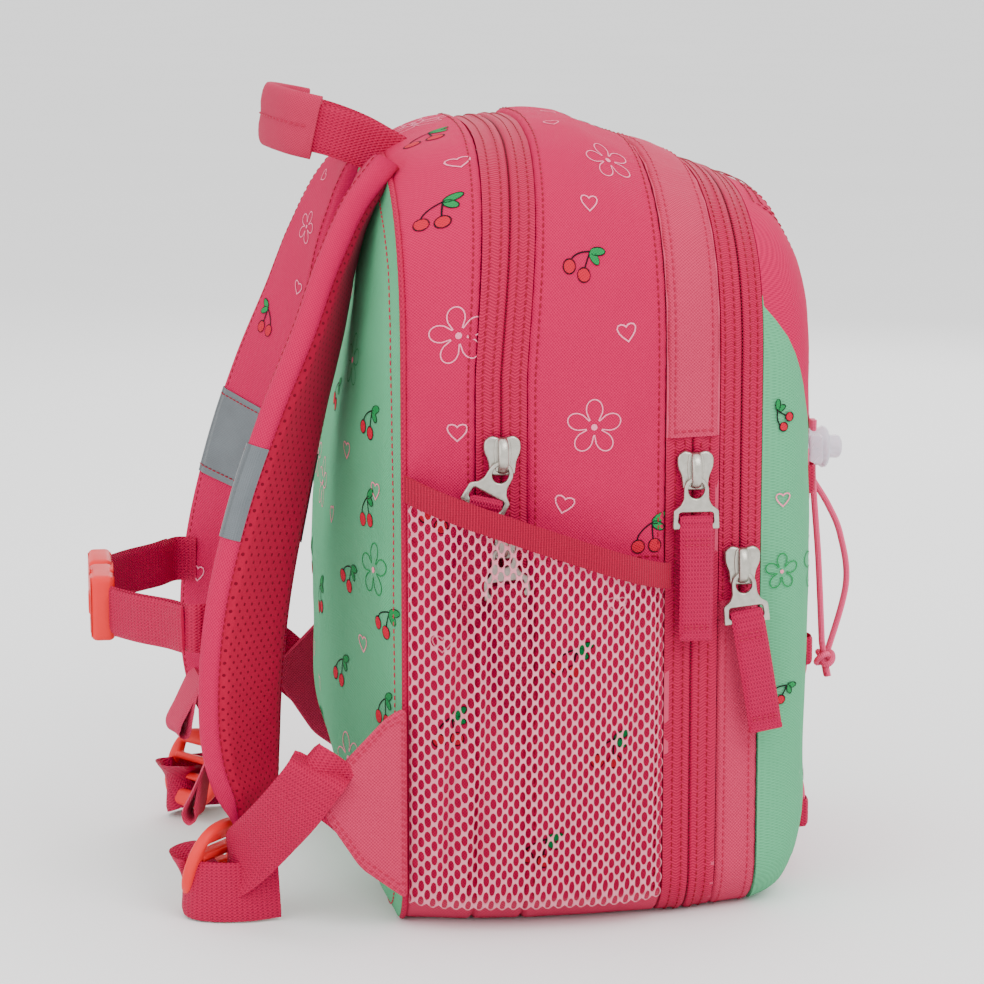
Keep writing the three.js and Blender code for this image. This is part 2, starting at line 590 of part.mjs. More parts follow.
function addCord() {
  addPiece('lace_cord', tube(lacePoints(), 8, CORD_RADIUS, 60), 'elastic');
  const [halfX, halfZ] = LOCK.half;
  const barrel = new THREE.CylinderGeometry(halfX, halfX, LOCK.back - LOCK.front, 20);
  barrel.scale(1, 1, halfZ / halfX).translate(LOCK.x, (LOCK.back + LOCK.front) / 2, LOCK.z);
  const well = new THREE.CylinderGeometry(5.4, 5.4, 15.4, 20).translate(LOCK.x, LOCK.front + 7, LOCK.z);
  const slot = boxBetween([LOCK.x - LOCK.bore / 2 - 1, STRAND_Y - 2.4, LOCK.z - 12],
    [LOCK.x + LOCK.bore / 2 + 1, STRAND_Y + 2.4, LOCK.z + 12]);
  addPiece('cord_lock_body', cut(barrel, well, slot), 'lock');
  const stem = new THREE.CylinderGeometry(5, 5, 17, 20).translate(LOCK.x, LOCK.front + 2.5, LOCK.z);
  const travel = boxBetween([LOCK.x - LOCK.bore / 2 - 1, STRAND_Y - CORD_RADIUS - GAP - PRESS, LOCK.z - 12],
    [LOCK.x + LOCK.bore / 2 + 1, STRAND_Y + CORD_RADIUS + GAP, LOCK.z + 12]);
  addPiece('cord_lock_plunger', cut(stem, travel), 'lock');
  const turns = 2;
  const coil = [];
  for (let i = 0; i <= turns * 10; i += 1) {
    const angle = (i / 10) * Math.PI * 2;
    const y = THREE.MathUtils.lerp(-131, -133.4, i / (turns * 10));
    coil.push([LOCK.x + 3.4 * Math.cos(angle), y, LOCK.z + 3.4 * Math.sin(angle)]);
  }
  addPiece('cord_lock_spring', tube(coil, 6, 0.4, 24), 'metal');
  addTails();
}

// Two free strands hang from the lock to a shared knot.
function addTails() {
  const knot = [LOCK.x, -146, 84];
  const spread = 1.8;
  const inner = [[LOCK.x - spread, STRAND_Y, LOCK.z + 12], [LOCK.x - spread, STRAND_Y, LOCK.z - 12],
    [LOCK.x - 2, -142, 130], [LOCK.x - 1.6, -144.4, 91.5]];
  const outer = [[LOCK.x + spread, STRAND_Y, LOCK.z + 12], [LOCK.x + spread, STRAND_Y, LOCK.z - 8],
    [LOCK.x + spread, STRAND_Y, LOCK.z - 13], [LOCK.x + 2.4, -147, 152], [LOCK.x + 3, -153, 138],
    [LOCK.x + 3.5, -156, 116], [LOCK.x + 1.6, -147.6, 86],
  ];
  const ball = new THREE.SphereGeometry(5.2, 12, 8).scale(1, 1, 1.25).translate(...knot);
  addPiece('cord_tail_inner', tube(inner, 8, CORD_RADIUS, 24), 'elastic');
  addPiece('cord_tail_outer', unite(tube(outer, 8, CORD_RADIUS, 28), ball), 'elastic');
}

addBackPanel();
addMainCompartment();
addMiddleCompartment();
addFrontPocket();
addSidePockets();
addHandle();
addStraps();
addLowerFittings();
addChestStrap();
addSliders();
addLacing();
addCord();

export default bag;
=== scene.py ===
# School backpack: the fabrics, zips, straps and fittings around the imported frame.
# Lengths are millimetres until a mesh is made; +Z up, the front faces -Y, the wearer is at +Y.
import math
import bmesh
import bpy
from mathutils import Matrix, Vector, noise


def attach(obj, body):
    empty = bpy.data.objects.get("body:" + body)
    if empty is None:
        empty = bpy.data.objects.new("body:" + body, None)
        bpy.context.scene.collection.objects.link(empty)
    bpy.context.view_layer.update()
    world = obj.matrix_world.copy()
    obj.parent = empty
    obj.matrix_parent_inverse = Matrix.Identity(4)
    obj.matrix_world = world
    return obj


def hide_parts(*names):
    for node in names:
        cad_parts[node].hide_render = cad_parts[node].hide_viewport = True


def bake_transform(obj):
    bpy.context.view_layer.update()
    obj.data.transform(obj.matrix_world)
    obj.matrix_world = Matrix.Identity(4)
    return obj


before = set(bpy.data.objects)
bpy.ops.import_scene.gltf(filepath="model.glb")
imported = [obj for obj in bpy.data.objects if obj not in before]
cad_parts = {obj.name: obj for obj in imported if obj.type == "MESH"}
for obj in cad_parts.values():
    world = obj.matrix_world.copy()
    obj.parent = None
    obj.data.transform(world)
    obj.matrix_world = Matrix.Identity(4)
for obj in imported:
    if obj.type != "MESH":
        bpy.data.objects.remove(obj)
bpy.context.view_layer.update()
MM = 0.001

# ---------------------------------------------------------------- driving dimensions, as in the CAD
SHOULDER_Z = 225.0
ARCH_POWER = 2.6
CORNER = 22.0
OUTLINES = [(50, 108, 309), (25, 114, 320), (0, 116, 322), (-26, 115, 319),
            (-54, 112, 312), (-76, 107, 304), (-96, 101, 297)]
BACK_SEAM = 50.0
MAIN_ZIP = (22.5, 2.5)
DIVIDER = -54.0
POCKET_ZIP = (-77.1, -94.8)
POCKET_SPLIT = -86.4
MAIN_ZIP_END = 148.0
MIDDLE_ZIP_END = 200.0
POCKET_ZIP_END = 132.0

NOMINAL_HALF = 114.0
NOMINAL_TOP = 315.0
BOTTOM_LENGTH = NOMINAL_HALF - CORNER
CORNER_LENGTH = math.pi / 2 * CORNER
SIDE_LENGTH = SHOULDER_Z - CORNER
ARCH_STEPS = 200
SHARP_ANGLE = math.radians(50)


# ---------------------------------------------------------------- small helpers
def lerp(a, b, t):
    return a + (b - a) * t


def clamp(value, low=0.0, high=1.0):
    return max(low, min(high, value))


def smooth(low, high, value):
    t = clamp((value - low) / (high - low))
    return t * t * (3 - 2 * t)


def spread(low, high, count):
    return [lerp(low, high, i / count) for i in range(count + 1)]


def rough(x, y, seed, size):
    return noise.noise(Vector((x / size, y / size, seed * 7.31)))


def power_of(value, power):
    """A power that keeps its sign, which squares off a circle."""
    return math.copysign(abs(value) ** power, value)


def catmull(points, steps):
    """Evenly stepped points on a smooth curve through the given points of any dimension."""
    count = len(points) - 1
    result = []
    for i in range(steps + 1):
        place = min(i / steps * count, count - 1e-6)
        k = int(place)
        t = place - k
        p0, p1 = points[max(k - 1, 0)], points[k]
        p2, p3 = points[k + 1], points[min(k + 2, count)]
        result.append(tuple(
            0.5 * (2 * b + (c - a) * t + (2 * a - 5 * b + 4 * c - d) * t * t
                   + (3 * b - a - 3 * c + d) * t ** 3)
            for a, b, c, d in zip(p0, p1, p2, p3)))
    return result


# ---------------------------------------------------------------- the bag's outline
def outline_at(y):
    for (y0, half0, top0), (y1, half1, top1) in zip(OUTLINES, OUTLINES[1:]):
        if y >= y1:
            break
    t = clamp((y0 - y) / (y0 - y1))
    return lerp(half0, half1, t), lerp(top0, top1, t)


def arch_point(angle, half, top):
    c, s = math.cos(angle), math.sin(angle)
    return -half * c ** (2 / ARCH_POWER), SHOULDER_Z + (top - SHOULDER_Z) * s ** (2 / ARCH_POWER)


def make_arch_table():
    lengths, before = [0.0], arch_point(0, NOMINAL_HALF, NOMINAL_TOP)
    for i in range(1, ARCH_STEPS + 1):
        here = arch_point(math.pi / 2 * i / ARCH_STEPS, NOMINAL_HALF, NOMINAL_TOP)
        lengths.append(lengths[-1] + math.dist(before, here))
        before = here
    return lengths


ARCH_TABLE = make_arch_table()
HALF_LENGTH = BOTTOM_LENGTH + CORNER_LENGTH + SIDE_LENGTH + ARCH_TABLE[-1]


def arch_angle(length):
    for i in range(1, ARCH_STEPS + 1):
        if ARCH_TABLE[i] >= length:
            t = (length - ARCH_TABLE[i - 1]) / (ARCH_TABLE[i] - ARCH_TABLE[i - 1])
            return math.pi / 2 * (i - 1 + t) / ARCH_STEPS
    return math.pi / 2


ANGLES = {}


def rim(w, y):
    """Point (x, z) and outward normal of the outline at y, w mm round it from the bottom's middle."""
    if w > HALF_LENGTH:
        (x, z), (nx, nz) = rim(2 * HALF_LENGTH - w, y)
        return (-x, z), (-nx, nz)
    half, top = outline_at(y)
    if w < BOTTOM_LENGTH:
        return (-w * (half - CORNER) / BOTTOM_LENGTH, 0.0), (0.0, -1.0)
    w -= BOTTOM_LENGTH
    if w < CORNER_LENGTH:
        c, s = math.cos(w / CORNER), math.sin(w / CORNER)
        return (-(half - CORNER) - CORNER * s, CORNER * (1 - c)), (-s, -c)
    w -= CORNER_LENGTH
    if w < SIDE_LENGTH:
        return (-half, CORNER + w), (-1.0, 0.0)
    key = round(w - SIDE_LENGTH, 4)
    if key not in ANGLES:
        ANGLES[key] = arch_angle(key)
    angle = ANGLES[key]
    c, s = max(math.cos(angle), 1e-6), max(math.sin(angle), 1e-6)
    power = 2 - 2 / ARCH_POWER
    normal = Vector((-c ** power / half, s ** power / (top - SHOULDER_Z))).normalized()
    return arch_point(angle, half, top), tuple(normal)


def side_w(z):
    """How far round the outline a height on the left side is."""
    return BOTTOM_LENGTH + CORNER_LENGTH + z - CORNER


def seam_lean(y, z):
    """The place along Y of a seam at a height: the main zip leans toward the front near the top."""
    high = clamp((z - SHOULDER_Z) / 90) ** 1.2
    near = smooth(50, 14, y) * smooth(-52, 10, y)
    return y - 9 * high * near


def bag_point(w, y, out=0.0):
    (x, z), (nx, nz) = rim(w, y)
    return Vector((x + nx * out, seam_lean(y, z), z + nz * out))


# ---------------------------------------------------------------- mesh building
class Piece:
    """Collects grids of points into one mesh, with uv in millimetres and a material for each part."""

    def __init__(self):
        self.verts, self.faces, self.uvs, self.slots, self.names = [], [], [], [], []

    def slot(self, name):
        if name not in self.names:
            self.names.append(name)
        return self.names.index(name)

    def add(self, points, faces, uvs, material):
        base = len(self.verts)
        self.verts.extend(points)
        self.uvs.extend(uvs)
        self.faces.extend([tuple(base + i for i in face) for face in faces])
        self.slots.extend([self.slot(material)] * len(faces))

    def grid(self, rows, uvs, material, flip=False):
        cols = len(rows[0])
        faces = []
        for r in range(len(rows) - 1):
            for c in range(cols - 1):
                a, b = r * cols + c, (r + 1) * cols + c
                faces.append((a, b, b + 1, a + 1) if flip else (a, a + 1, b + 1, b))
        self.add([p for row in rows for p in row], faces, [t for row in uvs for t in row], material)

    def shell(self, rows, uvs, material, thick, inside=None, ring=False):
        """A sheet of cloth with a thickness inward. ring says that the last row lies on the first."""
        normals = grid_normals(rows, ring)
        under = [[p - n * thick for p, n in zip(row, ns)] for row, ns in zip(rows, normals)]
        self.grid(rows, uvs, material)
        self.grid(under, uvs, inside or material, flip=True)
        for c, flip in ((0, True), (-1, False)):
            edge = [[row[c], low[c]] for row, low in zip(rows, under)]
            self.grid(edge, [[uv[c]] * 2 for uv in uvs], material, flip)
        for r, flip in ((0, False), (-1, True)) if not ring else ():
            edge = [[top, low] for top, low in zip(rows[r], under[r])]
            self.grid(edge, [[uv] * 2 for uv in uvs[r]], material, flip)

    def sweep(self, points, acrosses, section, material):
        """A closed section of (a, b) pairs swept along points, with flat ends.
        acrosses is one direction, or one for each point, or None."""
        frames = route_frames(points, acrosses)
        rows, uvs, run = [], [], 0.0
        for i, (p, across, normal) in enumerate(frames):
            if i:
                run += (p - frames[i - 1][0]).length
            shape = section(i / (len(frames) - 1)) if callable(section) else section
            rows.append([p + across * a + normal * b for a, b in shape])
            uvs.append([(run, a) for a, b in shape])
        closed = [row + row[:1] for row in rows]
        self.grid(closed, [row + row[:1] for row in uvs], material, flip=True)
        count = len(rows[0])
        self.add(rows[0], [tuple(range(count))], uvs[0], material)
        self.add(rows[-1], [tuple(reversed(range(count)))], uvs[-1], material)

    def tube(self, points, radius, material, sides=8):
        self.sweep(points, None, circle(0, 0, radius, sides), material)

    def stitches(self, points, normals, material, pitch=3.0, length=2.1, radius=0.32):
        """Short thread capsules along a line of points. normals is one direction, or one for each point."""
        for here, along, normal in even_marks(points, normals, pitch):
            side = along.cross(normal).normalized()
            rings = []
            for t, size in ((-0.5, 0.35), (-0.3, 1.0), (0.3, 1.0), (0.5, 0.35)):
                middle = here + along * length * t - normal * radius * 0.5 * (abs(t) > 0.4)
                rings.append([middle + (side * math.cos(a) + normal * math.sin(a)) * radius * size
                              for a in (0.0, 1.05, 2.09, 3.14, 4.19, 5.24)])
            self.grid([ring + ring[:1] for ring in rings], [[(0, 0)] * 7] * 4, material, flip=True)
            self.add(rings[0], [tuple(range(6))], [(0, 0)] * 6, material)
            self.add(rings[-1], [tuple(reversed(range(6)))], [(0, 0)] * 6, material)

    def make(self, name, body, replaces=()):
        mesh = bpy.data.meshes.new(name.replace(" ", "_"))
        mesh.from_pydata([p * MM for p in self.verts], [], self.faces)
        layer = mesh.uv_layers.new(name="flat")
        loops = [0] * len(mesh.loops)
        mesh.loops.foreach_get("vertex_index", loops)
        layer.data.foreach_set("uv", [value for i in loops for value in self.uvs[i]])
        mesh.polygons.foreach_set("material_index", self.slots)
        for part in self.names:
            mesh.materials.append(material(part))
        body_mesh = bmesh.new()
        body_mesh.from_mesh(mesh)
        bmesh.ops.remove_doubles(body_mesh, verts=body_mesh.verts, dist=2e-6)
        bmesh.ops.recalc_face_normals(body_mesh, faces=body_mesh.faces)
        body_mesh.to_mesh(mesh)
        body_mesh.free()
        mesh.polygons.foreach_set("use_smooth", [True] * len(mesh.polygons))
        mesh.set_sharp_from_angle(angle=SHARP_ANGLE)
        piece = bpy.data.objects.new(name.replace(" ", "_"), mesh)
        bpy.context.scene.collection.objects.link(piece)
        if body:
            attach(piece, body)
        if replaces:
            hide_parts(*replaces)
        return piece


def grid_normals(rows, ring=False):
    last_row, last_col = len(rows) - 1, len(rows[0]) - 1
    normals = []
    for r, row in enumerate(rows):
        r0, r1 = max(r - 1, 0), min(r + 1, last_row)
        if ring and r in (0, last_row):
            r0, r1 = last_row - 1, 1
        line = []
        for c in range(len(row)):
            c0, c1 = max(c - 1, 0), min(c + 1, last_col)
            line.append((row[c1] - row[c0]).cross(rows[r1][c] - rows[r0][c]).normalized())
        for c, beside in ((0, 1), (-1, -2)):
            if line[c].length < 0.5:
                line[c] = line[beside]
        normals.append(line)
    return normals


def one_each(directions, points):
    """The list of directions as given, or one direction repeated for each point."""
    single = isinstance(directions, Vector) or not hasattr(directions[0], "__len__")
    return [directions] * len(points) if single else directions


def route_frames(points, acrosses=None):
    """(point, across, normal) along a route. Without acrosses the frame is carried along unturned."""
    points = [Vector(p) for p in points]
    if acrosses:
        acrosses = one_each(acrosses, points)
    frames, across = [], None
    for i, p in enumerate(points):
        along = (points[min(i + 1, len(points) - 1)] - points[max(i - 1, 0)]).normalized()
        if acrosses:
            across = Vector(acrosses[i])
        elif across is None:
            across = along.orthogonal()
        across = (across - along * across.dot(along)).normalized()
        frames.append((p, across, along.cross(across).normalized()))
    return frames


def even_marks(points, normals, pitch):
    """(place, direction, normal) every pitch mm along a line."""
    normals = one_each(normals, points)
    marks, left = [], pitch / 2
    for i in range(len(points) - 1):
        a, b = Vector(points[i]), Vector(points[i + 1])
        step = (b - a).length
        if step < 1e-6:
            continue
        while left < step:
            t = left / step
            normal = Vector(normals[i]).lerp(Vector(normals[i + 1]), t).normalized()
            marks.append((a.lerp(b, t), (b - a).normalized(), normal))
            left += pitch
        left -= step
    return marks


# ---------------------------------------------------------------- materials
class Shader:
    """A principled material, with short calls for the nodes that feed it."""

    def __init__(self, name, roughness, metallic=0.0, sheen=0.0):
        self.material = bpy.data.materials.new(name)
        self.material.use_nodes = True
        self.tree = self.material.node_tree
        self.surface = next(n for n in self.tree.nodes if n.type == "BSDF_PRINCIPLED")
        self.set("Roughness", roughness)
        self.set("Metallic", metallic)
        self.set("Sheen Weight", sheen * 0.05)
        self.set("Sheen Roughness", 0.45)
        self.set("Specular IOR Level", 0.16 if metallic == 0 else 0.5)

    def set(self, name, value):
        self.surface.inputs[name].default_value = value

    def join(self, socket, value):
        if isinstance(value, bpy.types.NodeSocket):
            self.tree.links.new(value, socket)
        else:
            socket.default_value = value

    def math(self, operation, a, b=0.0):
        node = self.tree.nodes.new("ShaderNodeMath")
        node.operation = operation
        self.join(node.inputs[0], a)
        self.join(node.inputs[1], b)
        return node.outputs[0]

    def flat(self):
        """The uv in millimetres: along and across."""
        coords = self.tree.nodes.new("ShaderNodeTexCoord")
        parts = self.tree.nodes.new("ShaderNodeSeparateXYZ")
        self.join(parts.inputs[0], coords.outputs["UV"])
        return parts.outputs[0], parts.outputs[1]

    def noise(self, size, detail=2.0):
        """Noise in the object's own space, with lumps of about that many millimetres."""
        coords = self.tree.nodes.new("ShaderNodeTexCoord")
        node = self.tree.nodes.new("ShaderNodeTexNoise")
        self.join(node.inputs["Vector"], coords.outputs["Object"])
        node.inputs["Scale"].default_value = 1000.0 / size
        node.inputs["Detail"].default_value = detail
        return node.outputs[0]

    def level(self, value, scale, base):
        """value times scale, plus base."""
        socket = self.math("MULTIPLY_ADD", value, scale)
        self.tree.nodes[-1].inputs[2].default_value = base
        return socket

    def wave(self, value, pitch):
        return self.math("SINE", self.math("MULTIPLY", value, 2 * math.pi / pitch))

    def mix(self, amount, a, b):
        node = self.tree.nodes.new("ShaderNodeMix")
        node.data_type = "RGBA"
        self.join(node.inputs[0], amount)
        for socket, value in ((node.inputs[6], a), (node.inputs[7], b)):
            self.join(socket, value if isinstance(value, bpy.types.NodeSocket) else (*value, 1.0))
        return node.outputs[2]

    def colour(self, value):
        self.join(self.surface.inputs["Base Color"], value)

    def bump(self, height, distance, strength=1.0):
        node = self.tree.nodes.new("ShaderNodeBump")
        node.inputs["Strength"].default_value = strength
        node.inputs["Distance"].default_value = distance * MM
        self.join(node.inputs["Height"], height)
        self.join(self.surface.inputs["Normal"], node.outputs[0])


def rgb(red, green, blue):
    """Linear colour of three values from 0 to 255."""
    return tuple((v / 255 / 12.92) if v < 10 else ((v / 255 + 0.055) / 1.055) ** 2.4
                 for v in (red, green, blue))


def shade(colour, amount):
    return tuple(min(1.0, v * amount) for v in colour)


def canvas_material(name, colour, pitch=1.25, depth=0.26, contrast=0.34, roughness=0.82, sheen=0.25):
    """Plain woven cloth: two crossing sets of threads, with faint slubs and fading."""
    s = Shader(name, roughness, sheen=sheen)
    u, v = s.flat()
    weave = s.math("MULTIPLY", s.wave(u, pitch), s.wave(v, pitch))
    slub = s.noise(2.4, 4.0)
    cloud = s.noise(46.0, 2.0)
    threads = s.level(weave, 0.5, 0.5)
    shaded = s.mix(threads, shade(colour, 1 - contrast), shade(colour, 1 + contrast * 0.6))
    faded = s.mix(s.math("MULTIPLY", cloud, 0.28), shaded, shade(colour, 0.72))
    s.colour(s.mix(s.math("MULTIPLY", slub, 0.16), faded, shade(colour, 1.35)))
    s.bump(s.math("ADD", s.math("MULTIPLY", weave, 0.5), slub), depth)
    return s.material


def webbing_material(name, colour, pitch=1.9, column=3.2, depth=0.3, roughness=0.6, slant=0.55):
    """Ribbed weave. With a slant the threads turn back at each column across the width, as herringbone."""
    s = Shader(name, roughness, sheen=0.35)
    u, v = s.flat()
    zigzag = s.math("PINGPONG", v, column)
    rib = s.wave(s.math("ADD", u, s.math("MULTIPLY", zigzag, slant)), pitch)
    if not slant:
        rows = s.math("MULTIPLY", s.wave(v, column), 0.8)
        rib = s.math("ADD", s.math("MULTIPLY", rib, rows), s.math("MULTIPLY", rib, 0.35))
    slub = s.noise(1.6, 3.0)
    cloud = s.noise(30.0)
    lit = s.level(rib, 0.5, 0.5)
    shaded = s.mix(lit, shade(colour, 0.66), shade(colour, 1.18))
    s.colour(s.mix(s.math("MULTIPLY", cloud, 0.25), shaded, shade(colour, 0.7)))
    s.bump(s.math("ADD", rib, s.math("MULTIPLY", slub, 0.4)), depth)
    return s.material


def mesh_material(name, colour, pitch=3.1):
    """Spacer fabric: rows of small holes in a soft knit, painted dark as the shade inside them."""
    s = Shader(name, 0.9, sheen=0.5)
    u, v = s.flat()
    a = s.wave(s.math("ADD", u, v), pitch * 1.414)
    b = s.wave(s.math("SUBTRACT", u, v), pitch * 1.414)
    both = s.math("ADD", a, b)
    hole = s.math("GREATER_THAN", both, 1.45)
    knit = s.noise(1.2, 3.0)
    cloth = s.mix(s.math("MULTIPLY", knit, 0.4), colour, shade(colour, 0.75))
    # painted shade: each hole's colour is pulled down to a quarter brightness, as the shade down inside it
    s.colour(s.mix(s.math("MULTIPLY", hole, 0.8), cloth, shade(colour, 0.25)))
    s.bump(s.math("SUBTRACT", s.math("MULTIPLY", knit, 0.3), hole), 0.3)
    return s.material


def netting_material(name, colour):
    """Knitted mesh threads with a slight shine."""
    s = Shader(name, 0.55, sheen=0.5)
    s.set("Subsurface Weight", 0.15)
    s.set("Subsurface Radius", (0.002, 0.001, 0.001))
    u, v = s.flat()
    knit = s.wave(s.math("ADD", v, s.math("MULTIPLY", s.wave(u, 1.1), 0.3)), 0.8)
    s.colour(s.mix(s.noise(3.0, 3.0), shade(colour, 0.82), shade(colour, 1.1)))
    s.bump(knit, 0.12)
    return s.material


def plastic_material(name, colour, roughness=0.38, clear=False):
    """Moulded plastic with a faint grain and hand marks in the shine."""
    s = Shader(name, roughness)
    grain = s.noise(0.7, 4.0)
    smudge = s.noise(14.0, 3.0)
    s.colour(s.mix(s.math("MULTIPLY", smudge, 0.35), colour, shade(colour, 0.84)))
    s.join(s.surface.inputs["Roughness"], s.level(smudge, 0.22, roughness - 0.08))
    s.set("Subsurface Weight", 0.35 if clear else 0.12)
    s.set("Subsurface Radius", (0.004, 0.003, 0.003))
    s.set("Transmission Weight", 0.35 if clear else 0.0)
    s.bump(grain, 0.05)
    return s.material


def metal_material(name, colour, roughness=0.3):
    """Satin plating, tumbled smooth, darker in random patches where hands wear it."""
    s = Shader(name, roughness, metallic=1.0)
    wear = s.noise(2.2, 5.0)
    brushed = s.noise(0.5, 6.0)
    s.colour(s.mix(wear, shade(colour, 0.62), shade(colour, 1.12)))
    s.join(s.surface.inputs["Roughness"], s.level(brushed, 0.3, roughness - 0.1))
    s.bump(brushed, 0.05)
    return s.material


def reflector_material():
    """Grey retroreflective cloth: a glass-bead sheen over a fine diamond weave."""
    s = Shader("reflective cloth", 0.34, metallic=0.55)
    colour = rgb(98, 104, 108)
    u, v = s.flat()
    weave = s.math("MULTIPLY", s.wave(s.math("ADD", u, v), 1.6), s.wave(s.math("SUBTRACT", u, v), 1.6))
    s.colour(s.mix(s.noise(18.0, 3.0), shade(colour, 0.7), shade(colour, 1.15)))
    s.bump(weave, 0.06)
    return s.material


def thread_material(name, colour):
    s = Shader(name, 0.55, sheen=0.4)
    s.colour(s.mix(s.noise(0.6, 2.0), shade(colour, 0.75), shade(colour, 1.15)))
    s.bump(s.noise(0.3, 2.0), 0.08)
    return s.material


def elastic_material(name, colour):
    """Braided round elastic: slanting strands round the cord."""
    s = Shader(name, 0.5, sheen=0.4)
    u, v = s.flat()
    braid = s.math("MULTIPLY", s.wave(s.math("ADD", u, v), 1.3), s.wave(s.math("SUBTRACT", u, v), 1.3))
    lit = s.level(braid, 0.5, 0.5)
    s.colour(s.mix(lit, shade(colour, 0.72), shade(colour, 1.12)))
    s.bump(braid, 0.15)
    return s.material


def rib_material(name, colour, pitch=1.3):
    """Woven elastic band with upright ribs."""
    s = Shader(name, 0.62, sheen=0.4)
    u, v = s.flat()
    rib = s.wave(u, pitch)
    fine = s.wave(v, 0.9)
    lit = s.level(rib, 0.5, 0.5)
    s.colour(s.mix(lit, shade(colour, 0.7), shade(colour, 1.15)))
    s.bump(s.math("ADD", rib, s.math("MULTIPLY", fine, 0.4)), 0.2)
    return s.material


PRINT = rgb(188, 0, 72)
CRIMSON = rgb(180, 0, 64)
ROSE = rgb(190, 44, 82)
MINT = rgb(82, 164, 118)
BLUSH = rgb(238, 130, 158)
BUILDERS = {
    "print": lambda: canvas_material("printed cloth", PRINT),
    "mint": lambda: canvas_material("mint cloth", MINT, contrast=0.22),
    "rose": lambda: canvas_material("rose canvas", ROSE, pitch=1.4, depth=0.3, contrast=0.38),
    "cream": lambda: canvas_material("cream cloth", rgb(246, 236, 228), contrast=0.1),
    "lining": lambda: canvas_material("lining", rgb(190, 60, 92), pitch=0.7, contrast=0.12),
    "cover": lambda: canvas_material("handle cover cloth", rgb(176, 36, 72), pitch=1.1, depth=0.22),
    "board": lambda: plastic_material("stiffener board", rgb(226, 226, 222), 0.6),
    "tape": lambda: webbing_material("zip tape", CRIMSON, pitch=1.2, column=2.4, depth=0.12),
    "webbing": lambda: webbing_material("webbing", CRIMSON, pitch=2.0, column=1.3, depth=0.3, slant=0),
    "pull": lambda: webbing_material("pull tape", rgb(180, 0, 68), pitch=1.7, column=1.2, slant=0),
    "air": lambda: mesh_material("air mesh", rgb(176, 2, 54), pitch=3.4),
    "netting": lambda: netting_material("netting", rgb(240, 150, 168)),
    "rib": lambda: rib_material("elastic band", rgb(160, 0, 48), pitch=1.0),
    "salmon": lambda: plastic_material("salmon plastic", rgb(222, 38, 42)),
    "clear": lambda: plastic_material("clear plastic", rgb(236, 228, 240), 0.25, clear=True),
    "nickel": lambda: metal_material("satin nickel", rgb(190, 186, 176)),
    "steel": lambda: metal_material("spring steel", rgb(170, 170, 170), 0.22),
    "reflector": reflector_material,
    "elastic": lambda: elastic_material("elastic cord", rgb(226, 78, 120)),
    "thread": lambda: thread_material("crimson thread", rgb(140, 4, 36)),
    "pale thread": lambda: thread_material("rose thread", rgb(170, 20, 62)),
    # the coil is a real part, but its colour is painted darker than the tape as shade in the closed seam's
    # groove
    "coil": lambda: thread_material("zip coil", rgb(104, 2, 28)),
    "ink dark": lambda: canvas_material("dark ink", rgb(20, 8, 14), contrast=0.3),
    "ink pale": lambda: canvas_material("pale ink", BLUSH, contrast=0.12),
    "ink leaf": lambda: canvas_material("leaf ink", rgb(14, 130, 66), contrast=0.25),
    "ink cherry": lambda: canvas_material("cherry ink", rgb(190, 6, 46), contrast=0.25),
}
BUILT = {}


def material(name):
    if name not in BUILT:
        BUILT[name] = BUILDERS[name]()
    return BUILT[name]


# ---------------------------------------------------------------- printed motifs
def stroke(piece, place, line, width, ink, closed=False):
    """A painted line: line is a list of (a, b), and place turns (a, b) into a point on the cloth."""
    if closed:
        line = line + line[:1]
    rows = []
    for i, (a, b) in enumerate(line):
        a0, b0 = line[max(i - 1, 0)]
        a1, b1 = line[min(i + 1, len(line) - 1)]
        if closed and i in (0, len(line) - 1):
            (a0, b0), (a1, b1) = line[-2], line[1]
        length = math.hypot(a1 - a0, b1 - b0) or 1.0
        da, db = -(b1 - b0) / length * width / 2, (a1 - a0) / length * width / 2
        rows.append([place(a + da, b + db), place(a - da, b - db)])
    uvs = [[(a, b), (a, b)] for a, b in line]
    piece.grid(rows, uvs, ink)


def blot(piece, place, outline, ink):
    middle = (sum(a for a, b in outline) / len(outline), sum(b for a, b in outline) / len(outline))
    points = [middle] + outline
    count = len(outline)
    faces = [(0, 1 + i, 1 + (i + 1) % count) for i in range(count)]
    piece.add([place(a, b) for a, b in points], faces, points, ink)


def circle(a, b, radius, count=14):
    return [(a + radius * math.cos(2 * math.pi * k / count), b + radius * math.sin(2 * math.pi * k / count))
            for k in range(count)]


def heart_line(size):
    line = []
    for k in range(20):
        t = 2 * math.pi * k / 20
        line.append((size * 0.5 * math.sin(t) ** 3 * 1.05,
                     size * (13 * math.cos(t) - 5 * math.cos(2 * t) - 2 * math.cos(3 * t)) / 30))
    return line


def flower_petals(size):
    petals = []
    for k in range(5):
        turn = 2 * math.pi * k / 5 + 0.3
        petal = []
        for j in range(15):
            t = j / 14
            reach = size * (0.14 + 0.36 * math.sin(math.pi * t) ** 0.55)
            spin = turn + (t - 0.5) * 1.16
            petal.append((reach * math.cos(spin), reach * math.sin(spin)))
        petals.append(petal)
    return petals


def draw_heart(piece, place, size, ink):
    stroke(piece, place, heart_line(size), 0.6, ink, closed=True)


def draw_flower(piece, place, size, ink):
    for petal in flower_petals(size):
        stroke(piece, place, petal, 0.5, ink)
    blot(piece, place, circle(0, 0, size * 0.06, 8), "ink pale")


